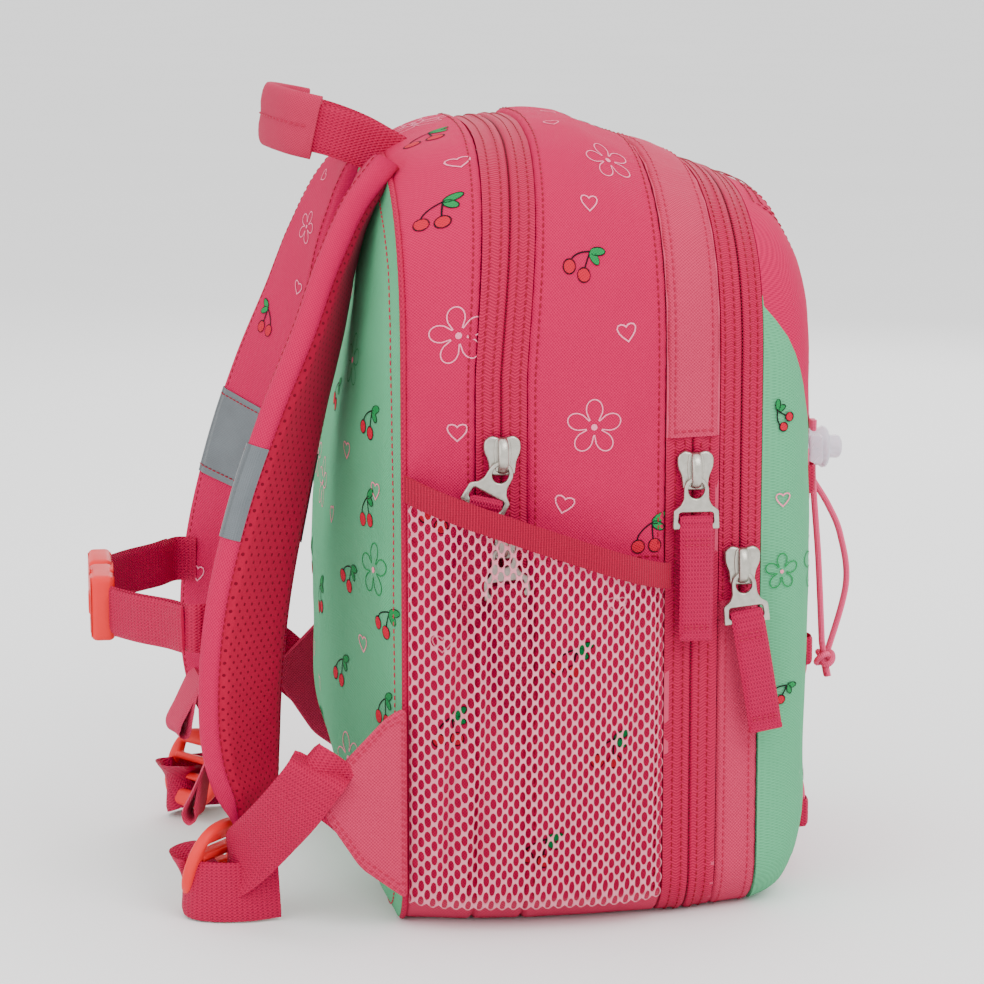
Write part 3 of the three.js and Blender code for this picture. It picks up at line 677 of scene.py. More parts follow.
def draw_cherries(piece, place, size, ink):
    k = size / 14
    for a, b in ((-4.2 * k, -2.6 * k), (2.2 * k, -4.2 * k)):
        blot(piece, place, circle(a, b, 2.5 * k), "ink cherry")
        stroke(piece, place, circle(a, b, 2.5 * k), 0.55, ink, closed=True)
    for start, bend in (((-4.0 * k, -0.2 * k), (-2.5 * k, 3 * k)), ((2.2 * k, -1.8 * k), (2.6 * k, 1.5 * k))):
        end = (3.4 * k, 4.4 * k)
        line = [(lerp(lerp(start[0], bend[0], t), lerp(bend[0], end[0], t), t),
                 lerp(lerp(start[1], bend[1], t), lerp(bend[1], end[1], t), t)) for t in spread(0, 1, 7)]
        stroke(piece, place, line, 0.6, ink)
    for turn, reach in ((0.25, 6.4 * k), (-0.75, 5.6 * k)):
        leaf = []
        for j in range(12):
            t = 2 * math.pi * j / 12
            a, b = reach / 2 * (1 - math.cos(t)), 1.5 * k * math.sin(t)
            leaf.append((3.4 * k + a * math.cos(turn) - b * math.sin(turn),
                         4.4 * k + a * math.sin(turn) + b * math.cos(turn)))
        blot(piece, place, leaf, "ink leaf")
        stroke(piece, place, leaf, 0.45, ink, closed=True)


DRAWERS = {"heart": (draw_heart, 7.5), "flower": (draw_flower, 22.0), "cherries": (draw_cherries, 15.0)}


def draw(piece, kind, surface, turn=0.0, size=None, ink=None):
    """surface(a, b) is a point on the cloth, a and b in mm from the motif's middle."""
    drawer, usual = DRAWERS[kind]
    c, s = math.cos(math.radians(turn)), math.sin(math.radians(turn))
    default = "ink dark" if kind == "cherries" else "ink pale"
    drawer(piece, lambda a, b: surface(a * c - b * s, a * s + b * c), size or usual, ink or default)


# ---------------------------------------------------------------- bands of cloth round the bag
class Band:
    """A strip between two seams along Y, from one place round the outline to another."""

    def __init__(self, back, front, start=0.0, end=2 * HALF_LENGTH, puff=1.6, seed=1, tuck=1.3):
        self.back, self.front, self.start, self.end = back, front, start, end
        self.puff, self.seed, self.tuck = puff, seed, tuck

    def out(self, w, y):
        t = clamp((self.back - y) / (self.back - self.front))
        edge = min(t, 1 - t) * (self.back - self.front)
        free = smooth(0, 9, edge)
        above = smooth(2, 34, rim(clamp(w, 0, 2 * HALF_LENGTH), y)[0][1])
        drape = 1.5 * rough(w, y * 1.6, self.seed, 46) + 0.7 * rough(w, y, self.seed + 5, 17)
        gather = 0.5 * math.sin(w * 0.62 + 3 * rough(w, 0, self.seed, 40)) * smooth(8, 1, edge)
        rise = self.puff * math.sqrt(max(0.0, 1 - (2 * t - 1) ** 2)) + drape * free + gather * 0.5
        return rise * above - self.tuck * smooth(1.6, 0, edge)

    def at(self, w, y, lift=0.0):
        point = bag_point(w, y, self.out(w, y) + lift)
        point.z = max(point.z, 0.05)
        return point

    def lines(self, fine_w=3.2, fine_y=2.0):
        ws = spread(self.start, self.end, max(2, round((self.end - self.start) / fine_w)))
        ys = [self.back]
        width = self.back - self.front
        ys += [self.back - v for v in (0.5, 1.1, 1.8)]
        ys += [self.back - v for v in spread(2.6, width - 2.6, max(1, round((width - 5.2) / fine_y)))]
        ys += [self.front + v for v in (1.8, 1.1, 0.5, 0.0)]
        return ws, ys

    def sew(self, piece, cloth, thick=1.4, inside="lining"):
        ws, ys = self.lines()
        rows = [[self.at(w, y) for y in ys] for w in ws]
        uvs = [[(w, y) for y in ys] for w in ws]
        piece.shell(rows, uvs, cloth, thick, inside)

    def topstitch(self, piece, y, thread="thread", start=None, end=None):
        ws = spread(self.start + 1 if start is None else start, self.end - 1 if end is None else end, 260)
        points = [self.at(w, y, 0.18) for w in ws]
        normals = [self.at(w, y, 1.2) - self.at(w, y, 0.2) for w in ws]
        piece.stitches(points, [n.normalized() for n in normals], thread)

    def print(self, piece, kind, w, y, turn=0.0, size=None, ink=None):
        draw(piece, kind, lambda a, b: self.at(w + b, y - a, 0.22), turn, size, ink)


class TapeBand(Band):
    """Zip tape: it lies a little under the cloth beside it, with the coil's closed seam down the middle."""

    def __init__(self, back, front, start, end, coil=None):
        super().__init__(back, front, start, end)
        self.coil = (back + front) / 2 if coil is None else coil

    def out(self, w, y):
        away = abs(y - self.coil)
        ridge = 0.75 * math.exp(-((away - 2.3) / 1.5) ** 2)
        groove = -0.9 * math.exp(-(away / 0.45) ** 2)
        wave = 0.35 * rough(w, y, 9, 30)
        return 0.1 + ridge + groove + wave

    def lines(self, fine_w=3.2, fine_y=1.0):
        ws = spread(self.start, self.end, max(2, round((self.end - self.start) / fine_w)))
        ys = set(spread(self.back, self.front, round((self.back - self.front) / fine_y)))
        ys |= {self.coil + d for d in (-1.0, -0.5, -0.25, 0.0, 0.25, 0.5, 1.0)}
        return ws, sorted((y for y in ys if self.front <= y <= self.back), reverse=True)

    def finish(self, piece):
        for away in (3.4, 7.4):
            for sign in (1, -1):
                if self.front < self.coil + sign * away < self.back:
                    self.topstitch(piece, self.coil + sign * away)
        ws = spread(self.start + 1, self.end - 1, 300)
        points = [self.at(w, self.coil, 0.35) for w in ws]
        normals = [(self.at(w, self.coil, 1.4) - self.at(w, self.coil, 0.4)).normalized() for w in ws]
        # the coil stitches carry the seam groove's painted shade in their dark colour
        piece.stitches(points, normals, "coil", pitch=1.5, length=1.0, radius=0.5)


BASE_W = BOTTOM_LENGTH + CORNER * math.acos(1 - 13 / CORNER)
ROUND = 2 * HALF_LENGTH


def near_base(band, piece, cloth):
    """The canvas base runs under the bag and a little way up its sides."""
    for start, end in ((0.0, BASE_W), (ROUND - BASE_W, ROUND)):
        Band(band.back, band.front, start, end, band.puff, band.seed, band.tuck).sew(piece, cloth)


SIDE_PRINTS = [
    # kind, height (above the shoulder it is measured round the arch), place along Y, turn
    ("cherries", 172, 37, -20), ("heart", 205, 30, 0), ("flower", 242, 30, 10),
    ("cherries", 292, 38, 5), ("heart", 318, 29, 10), ("heart", 120, 36, 0), ("cherries", 84, 34, 20),
    ("heart", 176, -12, -15), ("flower", 206, -24, 0), ("heart", 243, -37, 10), ("cherries", 268, -17, -10),
    ("heart", 292, -22, 0), ("flower", 318, -35, 20), ("cherries", 161, -46, 15),
    ("cherries", 112, -14, 0), ("cherries", 74, -30, 10), ("heart", 134, -34, 0), ("cherries", 34, -2, 0),
    ("cherries", 352, 37, 15), ("heart", 350, -12, 5), ("cherries", 372, -38, 0), ("flower", 392, 36, 0),
    ("heart", 398, -20, 0),
]


def print_side(piece, band, low=0.0):
    """Motifs on both sides of the bag, wherever they land on this band."""
    for kind, height, y, turn in SIDE_PRINTS:
        if not band.front + 3 < y < band.back - 3 or height < low:
            continue
        w = side_w(height)
        band.print(piece, kind, w, y, turn)
        band.print(piece, kind, ROUND - w + 5, y, -turn)


def make_gussets():
    tape_edge = 3.2
    rear = Band(BACK_SEAM, MAIN_ZIP[0], BASE_W, ROUND - BASE_W, puff=2.4, seed=1)
    piece = Piece()
    rear.sew(piece, "print")
    near_base(rear, piece, "rose")
    rear.topstitch(piece, MAIN_ZIP[0] + tape_edge)
    print_side(piece, rear)
    piece.make("rear gusset", "bag", ["rear_gusset"])

    front = Band(MAIN_ZIP[1], DIVIDER, BASE_W, ROUND - BASE_W, puff=3.4, seed=2)
    piece = Piece()
    front.sew(piece, "print")
    near_base(front, piece, "rose")
    front.topstitch(piece, MAIN_ZIP[1] - tape_edge)
    front.topstitch(piece, DIVIDER + tape_edge)
    for side in (1, -1):
        w = side_w(153)
        line = [front.at(w if side > 0 else ROUND - w, y, 0.3) for y in spread(-3, -50, 40)]
        piece.stitches(line, Vector((-side, 0, 0)), "thread")
    print_side(piece, front)
    piece.make("front gusset", "bag", ["front_gusset"])

    base = Band(*MAIN_ZIP, BASE_W, side_w(MAIN_ZIP_END), puff=0.8, seed=3)
    piece = Piece()
    for start, end in ((BASE_W, side_w(MAIN_ZIP_END)), (ROUND - side_w(MAIN_ZIP_END), ROUND - BASE_W)):
        Band(*MAIN_ZIP, start, end, puff=0.8, seed=3).sew(piece, "print")
    near_base(base, piece, "rose")
    piece.make("base gusset", "bag", ["base_gusset"])

    low = side_w(MAIN_ZIP_END)
    zip_tape = TapeBand(*MAIN_ZIP, low, ROUND - low)
    piece = Piece()
    zip_tape.sew(piece, "tape", 1.0, "tape")
    zip_tape.finish(piece)
    piece.make("main zip", "bag", ["main_zip_tape"])


def make_middle():
    """Rose canvas over the top of the slim compartment, and its zip from there under the base."""
    low = side_w(MIDDLE_ZIP_END)
    crest = Band(DIVIDER - 0.4, POCKET_ZIP[0] + 0.4, low, ROUND - low, puff=2.2, seed=4)
    piece = Piece()
    crest.sew(piece, "rose")
    crest.topstitch(piece, DIVIDER - 3.6, "pale thread")
    crest.topstitch(piece, POCKET_ZIP[0] + 3.6, "pale thread")
    for end in (low + 2.4, ROUND - low - 2.4):
        line = [crest.at(end, y, 0.25) for y in spread(DIVIDER - 3, POCKET_ZIP[0] + 3, 12)]
        piece.stitches(line, Vector((-1 if end < HALF_LENGTH else 1, 0, 0)), "pale thread")
    piece.make("middle gusset", "bag", ["middle_gusset"])
    piece = Piece()
    for start, end in ((0, low), (ROUND - low, ROUND)):
        tape = TapeBand(DIVIDER - 0.4, POCKET_ZIP[0] + 0.4, start, end)
        tape.sew(piece, "tape", 1.0, "tape")
        tape.finish(piece)
    piece.make("middle zip", "bag", ["middle_zip_tape"])


def hidden_panels():
    """Flat panels inside the bag keep their CAD shape and take woven or board finishes."""
    for node, finish in (("divider_panel", "lining"), ("middle_panel", "lining"),
                         ("back_stiffener", "board"), ("cord_lock_spring", "steel")):
        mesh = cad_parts[node].data
        mesh.materials.clear()
        mesh.materials.append(material(finish))


# ---------------------------------------------------------------- domed panels: the back and the front
class Dome:
    """A panel that shrinks toward a middle as it rises off the outline at one place along Y."""

    def __init__(self, edge, middle, rows, seed, puff):
        self.edge, self.middle, self.rows, self.seed, self.puff = edge, middle, rows, seed, puff
        self.sign = 1 if rows[-1][1] > edge else -1
        ring = []
        for w in spread(0, ROUND, 720):
            (x, z), _ = rim(w, edge)
            ring.append((math.atan2(z - middle, x), math.hypot(x, z - middle)))
        self.ring = sorted(ring)

    def reach(self, angle):
        low, high = 0, len(self.ring) - 1
        if not self.ring[0][0] < angle < self.ring[-1][0]:
            return self.ring[0][1]
        while high - low > 1:
            half = (low + high) // 2
            if self.ring[half][0] <= angle:
                low = half
            else:
                high = half
        (a0, r0), (a1, r1) = self.ring[low], self.ring[high]
        return lerp(r0, r1, (angle - a0) / max(a1 - a0, 1e-9))

    def rough_height(self, k):
        k = clamp(k)
        for (k0, y0), (k1, y1) in zip(self.rows, self.rows[1:]):
            if k >= k1:
                return lerp(y0, y1, (k0 - k) / max(k0 - k1, 1e-9))
        return self.rows[-1][1]

    def height(self, k):
        step = 0.025 * smooth(1.0, 0.9, k) + 0.002
        return sum(self.rough_height(k + d * step) for d in (-2, -1, 0, 1, 2)) / 5

    def surface(self, x, z):
        angle, reach = math.atan2(z - self.middle, x), math.hypot(x, z - self.middle)
        k = min(reach / self.reach(angle), 1.0)
        edge = (1 - k) * self.reach(angle)
        drape = 1.6 * rough(x, z, self.seed, 52) + 0.7 * rough(x, z, self.seed + 3, 19)
        return self.height(k) + self.sign * (self.puff + drape) * smooth(0, 16, edge)

    def at(self, x, z, lift=0.0):
        y = self.surface(x, z)
        if lift:
            slope = Vector((-(self.surface(x + 0.6, z) - y) / 0.6, 1, -(self.surface(x, z + 0.6) - y) / 0.6))
            return Vector((x, y, z)) + slope.normalized() * self.sign * lift
        return Vector((x, y, z))

    def radial(self, angle, k, lift=0.0):
        reach = self.reach(angle) * k
        return self.at(reach * math.cos(angle), self.middle + reach * math.sin(angle), lift)

    def zone(self, piece, cloth, low, high, steps, angles, thick=1.6, inside="lining"):
        """The part between two shares of the way out, each a function of the angle."""
        rows, uvs = [], []
        for angle in angles:
            a, b = low(angle), high(angle)
            line = [self.radial(angle, lerp(a, b, (i / steps) ** 0.8)) for i in range(steps + 1)]
            if self.sign > 0:
                line.reverse()
            rows.append(line)
            uvs.append([(p.x, p.z) for p in line])
        piece.shell(rows, uvs, cloth, thick, inside, ring=True)

    def beside(self, side, y, z, lift):
        """The point at a place along Y and a height on the panel's steep edge, on one side."""
        low, high = 20.0, 125.0
        for _ in range(18):
            x = (low + high) / 2
            k = math.hypot(x, z - self.middle) / self.reach(math.atan2(z - self.middle, x))
            inside = k < 1 and (self.height(k) - y) * self.sign > 0
            low, high = (x, high) if inside else (low, x)
        point = self.at(-side * low, z)
        return Vector((point.x - side * lift, y, z))

    def print_edge(self, piece, kind, side, y, z, turn=0.0, size=None, ink=None):
        draw(piece, kind, lambda a, b: self.beside(side, y - a, z + b, 0.7), turn, size, ink)

    def print(self, piece, kind, x, z, turn=0.0, size=None, ink=None):
        mirror = -self.sign
        draw(piece, kind, lambda a, b: self.at(x + mirror * a, z + b, 0.25), turn, size, ink)


BACK_ROWS = [(1, 51.6), (0.97, 53), (0.9, 55.5), (0.75, 60.5), (0.6, 65.5), (0.45, 70), (0.3, 73.5),
             (0.15, 75.6)]
FRONT_ROWS = [(1, -95.1), (0.985, -103), (0.95, -111), (0.89, -116.5), (0.78, -120.3), (0.6, -122.4),
              (0.3, -123.2)]
BACK_STITCH = 0.955       # share of the way out to the back panel's edge
BACK_PRINTS = [
    ("cherries", 84, 205, 0), ("heart", 90, 178, 0), ("cherries", 80, 168, 20), ("flower", 88, 145, 0),
    ("cherries", 96, 126, -10), ("heart", 74, 112, 0), ("cherries", 92, 88, 10), ("cherries", 60, 138, -15),
    ("heart", 60, 190, 0), ("flower", 56, 226, 0), ("cherries", 50, 96, 0), ("heart", 40, 160, 10),
    ("flower", 60, 60, 20), ("cherries", 24, 208, 0), ("cherries", 20, 120, 25), ("heart", 14, 82, 0),
    ("flower", 12, 168, 0), ("heart", 84, 50, 0), ("cherries", 28, 48, -10), ("heart", 20, 250, 0),
]


def make_back():
    dome = Dome(BACK_SEAM, 100, BACK_ROWS, 11, 1.4)
    angles = spread(-math.pi, math.pi, 190)
    piece = Piece()
    dome.zone(piece, "mint", lambda a: 0.0, lambda a: 1.0, 46, angles, 2.0, "mint")
    points = [dome.radial(a, BACK_STITCH, 0.2) for a in spread(-math.pi, math.pi, 300)]
    piece.stitches(points, Vector((0, 1, 0)), "pale thread")
    for side in (1, -1):
        for i, (kind, x, z, turn) in enumerate(BACK_PRINTS):
            ink = ("ink leaf" if i % 2 else "ink pale") if kind == "flower" else None
            dome.print(piece, kind, side * -x, z + (0 if side > 0 else 9), turn, ink=ink)
    back = piece.make("padded back", "bag", ["back_panel"])
    cord = Piece()
    seam = [bag_point(w, BACK_SEAM + 0.3, -0.2) for w in spread(0, ROUND, 420)]
    for p in seam:
        p.z = max(p.z, 1.4)
    cord.tube(seam, 1.3, "webbing")
    cord.make("back seam binding", "bag")


def make_front():
    """Front pocket: mint side wings, a printed border, a rose laced centre and a cream picture panel."""
    dome = Dome(POCKET_ZIP[1], 135, FRONT_ROWS, 21, 0.6)
    piece = Piece()

    def box_share(half, low, high):
        def share(angle):
            c, s = math.cos(angle), math.sin(angle)
            across = half / max(abs(c), 1e-6)
            up = (high - 135) / s if s > 1e-6 else ((low - 135) / s if s < -1e-6 else 1e9)
            power = 6
            reach = (across ** -power + up ** -power) ** (-1 / power)
            return min(reach / dome.reach(angle), 1.0)
        return share

    centre = box_share(44, 16, 300)
    border = box_share(60, -60, 330)

    def wing(angle):
        """The mint wings lie along the outer seam and come to a point beside the arch."""
        high = math.degrees(math.asin(math.sin(angle)))
        return smooth(50, 20, high) ** 0.8

    angles = spread(-math.pi, math.pi, 240)
    dome.zone(piece, "rose", lambda a: 0.0, centre, 26, angles)
    dome.zone(piece, "print", centre, border, 6, angles)

    def reach(angle):
        return lerp(1.0, border(angle), wing(angle))

    dome.zone(piece, "print", border, reach, 14, angles)
    dome.zone(piece, "mint", reach, lambda a: 1.0, 26, angles)
    for share, thread in ((centre, "pale thread"), (border, "thread")):
        for away in (-0.02, 0.02):
            line = [dome.radial(a, min(share(a) + away, 0.99), 0.22) for a in spread(-math.pi, math.pi, 400)]
            piece.stitches(line, Vector((0, -1, 0)), thread)
    picture = [(x, z) for x, z in ((-38, 196), (38, 196), (36, 262), (0, 284), (-36, 262))]
    lines = []
    for t in spread(0, 1, 16):
        half, level = 38 - 4 * t, lerp(196, 282, t)
        lines.append([dome.at(lerp(-half, half, s), level - 14 * t * abs(2 * s - 1) ** 2, 0.7)
                      for s in spread(0, 1, 16)])
    piece.shell(lines, [[(p.x, p.z) for p in line] for line in lines], "cream", 0.9)
    border_line = [dome.at(x, z, 0.9) for x, z in
                   [(lerp(a[0], b[0], t), lerp(a[1], b[1], t))
                    for a, b in zip(picture, picture[1:] + picture[:1]) for t in spread(0, 0.95, 12)]]
    piece.stitches(border_line, Vector((0, -1, 0)), "thread")
    raised = lambda x, z: (lambda a, b: dome.at(x + a, z + b, 1.0))
    draw(piece, "flower", raised(-14, 226), 0, 30, "ink cherry")
    draw(piece, "cherries", raised(16, 240), 0, 20)
    draw(piece, "heart", raised(14, 212), 10, 10, "ink cherry")
    draw(piece, "heart", raised(-6, 256), -10, 9, "ink cherry")
    for side in (1, -1):
        for kind, x, z, turn in (("cherries", 76, 198, 60), ("flower", 80, 142, 0), ("heart", 74, 170, 0),
                                 ("cherries", 78, 104, 0), ("heart", 70, 78, 0), ("cherries", 72, 52, 20),
                                 ("heart", 80, 222, 0)):
            dome.print(piece, kind, side * x, z, turn * side, ink="ink leaf" if kind == "flower" else None)
        for kind, y, z, turn, size in (("cherries", -104, 205, 70, 10), ("flower", -105, 142, 0, 15),
                                       ("heart", -105, 172, 0, 6), ("cherries", -105, 92, -20, 10)):
            dome.print_edge(piece, kind, side, y, z, turn, size, "ink leaf" if kind == "flower" else None)
        for kind, x, z in (("heart", 52, 60), ("cherries", 52, 132), ("heart", 52, 184),
                           ("cherries", 56, 250)):
            dome.print(piece, kind, side * x, z, 0)
    seam_w = side_w(POCKET_ZIP_END)
    tape = TapeBand(POCKET_SPLIT - 0.2, POCKET_ZIP[1] - 0.6, seam_w, ROUND - seam_w, coil=POCKET_SPLIT)
    tape.sew(piece, "tape", 1.0, "tape")
    tape.topstitch(piece, POCKET_SPLIT - 3.4)
    tape.topstitch(piece, POCKET_SPLIT - 6.8)
    panel = piece.make("front pocket", None,
                       ["front_pocket_wall", "front_pocket_flap", "pocket_zip_flap_tape"])
    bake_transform(panel)

    piece = Piece()
    rear = TapeBand(POCKET_ZIP[0] - 0.2, POCKET_SPLIT + 0.2, seam_w, ROUND - seam_w, coil=POCKET_SPLIT)
    rear.sew(piece, "tape", 1.0, "tape")
    rear.finish(piece)
    piece.make("pocket zip", "bag", ["pocket_zip_tape"])

    piece = Piece()
    for start, end in ((0, seam_w), (ROUND - seam_w, ROUND)):
        low = Band(POCKET_ZIP[0] - 0.2, POCKET_ZIP[1] - 0.4, start, end, puff=1.2, seed=6)
        low.sew(piece, "rose")
        low.topstitch(piece, POCKET_ZIP[0] - 3.4, "pale thread", start + 1, end - 1)
        low.topstitch(piece, POCKET_ZIP[1] + 3.4, "pale thread", start + 1, end - 1)
    piece.make("front lower gusset", "bag", ["front_lower_gusset"])


# ---------------------------------------------------------------- side mesh pockets
POCKET_BACK, POCKET_FRONT, POCKET_LOW = 49.4, -54.0, 12.0
RIM_BACK, RIM_FRONT, RIM_HEIGHT = 176.0, 139.0, 10.0


def rim_z(y):
    return lerp(RIM_BACK, RIM_FRONT, (POCKET_BACK - y) / (POCKET_BACK - POCKET_FRONT))


def corner_w(z):
    return side_w(z) if z > CORNER else BOTTOM_LENGTH + CORNER * math.acos(clamp(1 - z / CORNER, -1, 1))


def net_point(y, z, lift=0.0):
    """The netting stands off the bag's side, gathered in soft upright folds below the rim."""
    y = clamp(y, POCKET_FRONT, POCKET_BACK)
    across = 2 * (y - POCKET_FRONT) / (POCKET_BACK - POCKET_FRONT) - 1
    up = clamp((z - 8) / (rim_z(y) - 8))
    free = (1 - across ** 6) * smooth(0, 0.25, (z - POCKET_LOW) / 100)
    bulge = 15 * (1 - across ** 6) * up ** 0.4
    fold = 2.9 * math.sin(y * 0.5 + 1.4 * rough(y, z, 31, 60)) * smooth(-26, -46, y)
    fold += 3.2 * math.sin(y * 0.5 + 0.02 * z + 1.3 * rough(y, z, 33, 50)) * smooth(6, 26, y)
    fold += 1.6 * rough(y, z * 0.5, 35, 15)
    fold *= smooth(-2, 16, rim_z(y) - z)
    return bag_point(corner_w(z), y, 1.6 + bulge + fold * free + lift)


def net_hole(piece, y, z, size, mapping, thick=0.6):
    """One cell of knitted mesh: a six-sided patch with an upright oval hole."""
    half_y, half_z, flat = size
    ring = [(half_y, -flat), (half_y, flat), (half_y / 2, (flat + half_z) / 2), (0, half_z),
            (-half_y / 2, (flat + half_z) / 2), (-half_y, flat), (-half_y, -flat),
            (-half_y / 2, -(flat + half_z) / 2), (0, -half_z), (half_y / 2, -(flat + half_z) / 2)]
    hole = []
    for a, b in ring:
        angle = math.atan2(b / half_z, a / half_y)
        hole.append((half_y * 0.52 * math.cos(angle), half_z * 0.98 * math.sin(angle)))
    outer = [mapping(y + a, z + b, 0) for a, b in ring]
    lip = [mapping(y + a, z + b, 0.18) for a, b in hole]
    back = [mapping(y + a, z + b, -thick) for a, b in hole]
    under = [mapping(y + a, z + b, -thick * 0.8) for a, b in ring]
    rows = [outer, lip, back, under]
    uvs = [[(y + a, z + b) for a, b in line + line[:1]] for line in (ring, hole, hole, ring)]
    piece.grid([row + row[:1] for row in rows], uvs, "netting", flip=True)


def make_side_pocket(side):
    half_y, row = 2.3, 3.0
    size = (half_y, (half_y ** 2 + row ** 2) / 2 / row, (row ** 2 - half_y ** 2) / 2 / row)

    def mapping(y, z, lift):
        y = clamp(y, POCKET_FRONT + 0.4, POCKET_BACK - 0.4)
        z = clamp(z, POCKET_LOW, rim_z(y) + 3)
        point = net_point(y, z, lift)
        point.x *= side
        return point

    piece = Piece()
    k = 0
    z = POCKET_LOW + 2
    while z < RIM_BACK + 4:
        y = POCKET_FRONT + 2 + (half_y if k % 2 else 0)
        while y < POCKET_BACK:
            if z < rim_z(y) + 4:
                net_hole(piece, y, z, size, mapping)
            y += 2 * half_y
        z += row
        k += 1
    name = "left" if side > 0 else "right"
    net = piece.make(f"{name} side pocket netting", "bag", [f"mesh_pocket_{name}"])

    piece = Piece()

    def rim_point(y, up, lift):
        z = rim_z(y) + 1 + up * RIM_HEIGHT
        point = net_point(y, min(z, rim_z(y) + 2), lift)
        point.z = z
        point.x *= side
        return point

    ys = spread(POCKET_BACK, POCKET_FRONT, 90)
    outside = [[rim_point(y, u, 1.3 + 0.5 * math.sin(math.pi * u)) for u in spread(0, 1, 8)] for y in ys]
    if side < 0:
        outside = [list(reversed(line)) for line in outside]
    uvs = [[(y, p.z) for p in line] for y, line in zip(ys, outside)]
    piece.shell(outside, uvs, "rib", 2.0, "rib")
    zigzag = []
    for i, y in enumerate(spread(POCKET_BACK - 1, POCKET_FRONT + 1, 86)):
        zigzag.append(rim_point(y, 0.14 + 0.1 * (i % 2), 1.75))
    piece.stitches(zigzag, Vector((-side, 0, 0)), "thread", 1.6, 1.3, 0.28)
    rim_piece = piece.make(f"{name} side pocket rim", "bag", [f"mesh_pocket_rim_{name}"])


# ---------------------------------------------------------------- shoulder straps
STRAP_ROWS = [
    # centre of the pad down the strap, the turn of its width about the upright, and its width
    (-43, 52, 303, 4, 46), (-47, 62, 287, 10, 48), (-52, 71, 265, 14, 50), (-57, 79, 238, 20, 52),
    (-61, 90, 205, 28, 52), (-63, 100, 170, 35, 51), (-65, 109, 130, 39, 50), (-67, 113, 95, 40, 48),
    (-69, 113, 66, 40, 42), (-71, 109, 40, 38, 26),
]
PAD = 11.0
STRAP_PRINTS = [
    # kind, share of the way down the strap, share of the half width, turn and size
    ("flower", 0.2, -0.1, 0, 18), ("heart", 0.1, 0.2, 20, 7), ("heart", 0.3, -0.45, 0, 7),
    ("cherries", 0.38, 0.3, 10, 13), ("flower", 0.66, -0.35, 0, 18), ("heart", 0.72, 0.45, 0, 7),
    ("cherries", 0.83, 0.1, 20, 13),
]
SEAM = 0.86       # share of the half width where the printed cloth meets the air mesh


def strap_frames(side, steps=150):
    stations = catmull(STRAP_ROWS, steps)
    points = [(side * x, y, z) for x, y, z, turn, width in stations]
    acrosses = [(math.cos(math.radians(turn)), -side * math.sin(math.radians(turn)), 0)
                for x, y, z, turn, width in stations]
    widths = [width for *_, width in stations]
    return [(p, a, n, w) for (p, a, n), w in zip(route_frames(points, acrosses), widths)]


def strap_point(frames, t, across, out):
    """t is 0 at the strap's top, across is a share of the half width, and out is away from the bag."""
    place = clamp(t) * (len(frames) - 1)
    k = min(int(place), len(frames) - 2)
    (p0, a0, n0, w0), (p1, a1, n1, w1) = frames[k], frames[k + 1]
    f = place - k
    p, a, n, w = p0.lerp(p1, f), a0.lerp(a1, f), n0.lerp(n1, f), lerp(w0, w1, f)
    if n.y < 0:
        n = -n
    return p + a * across * w / 2 + n * out


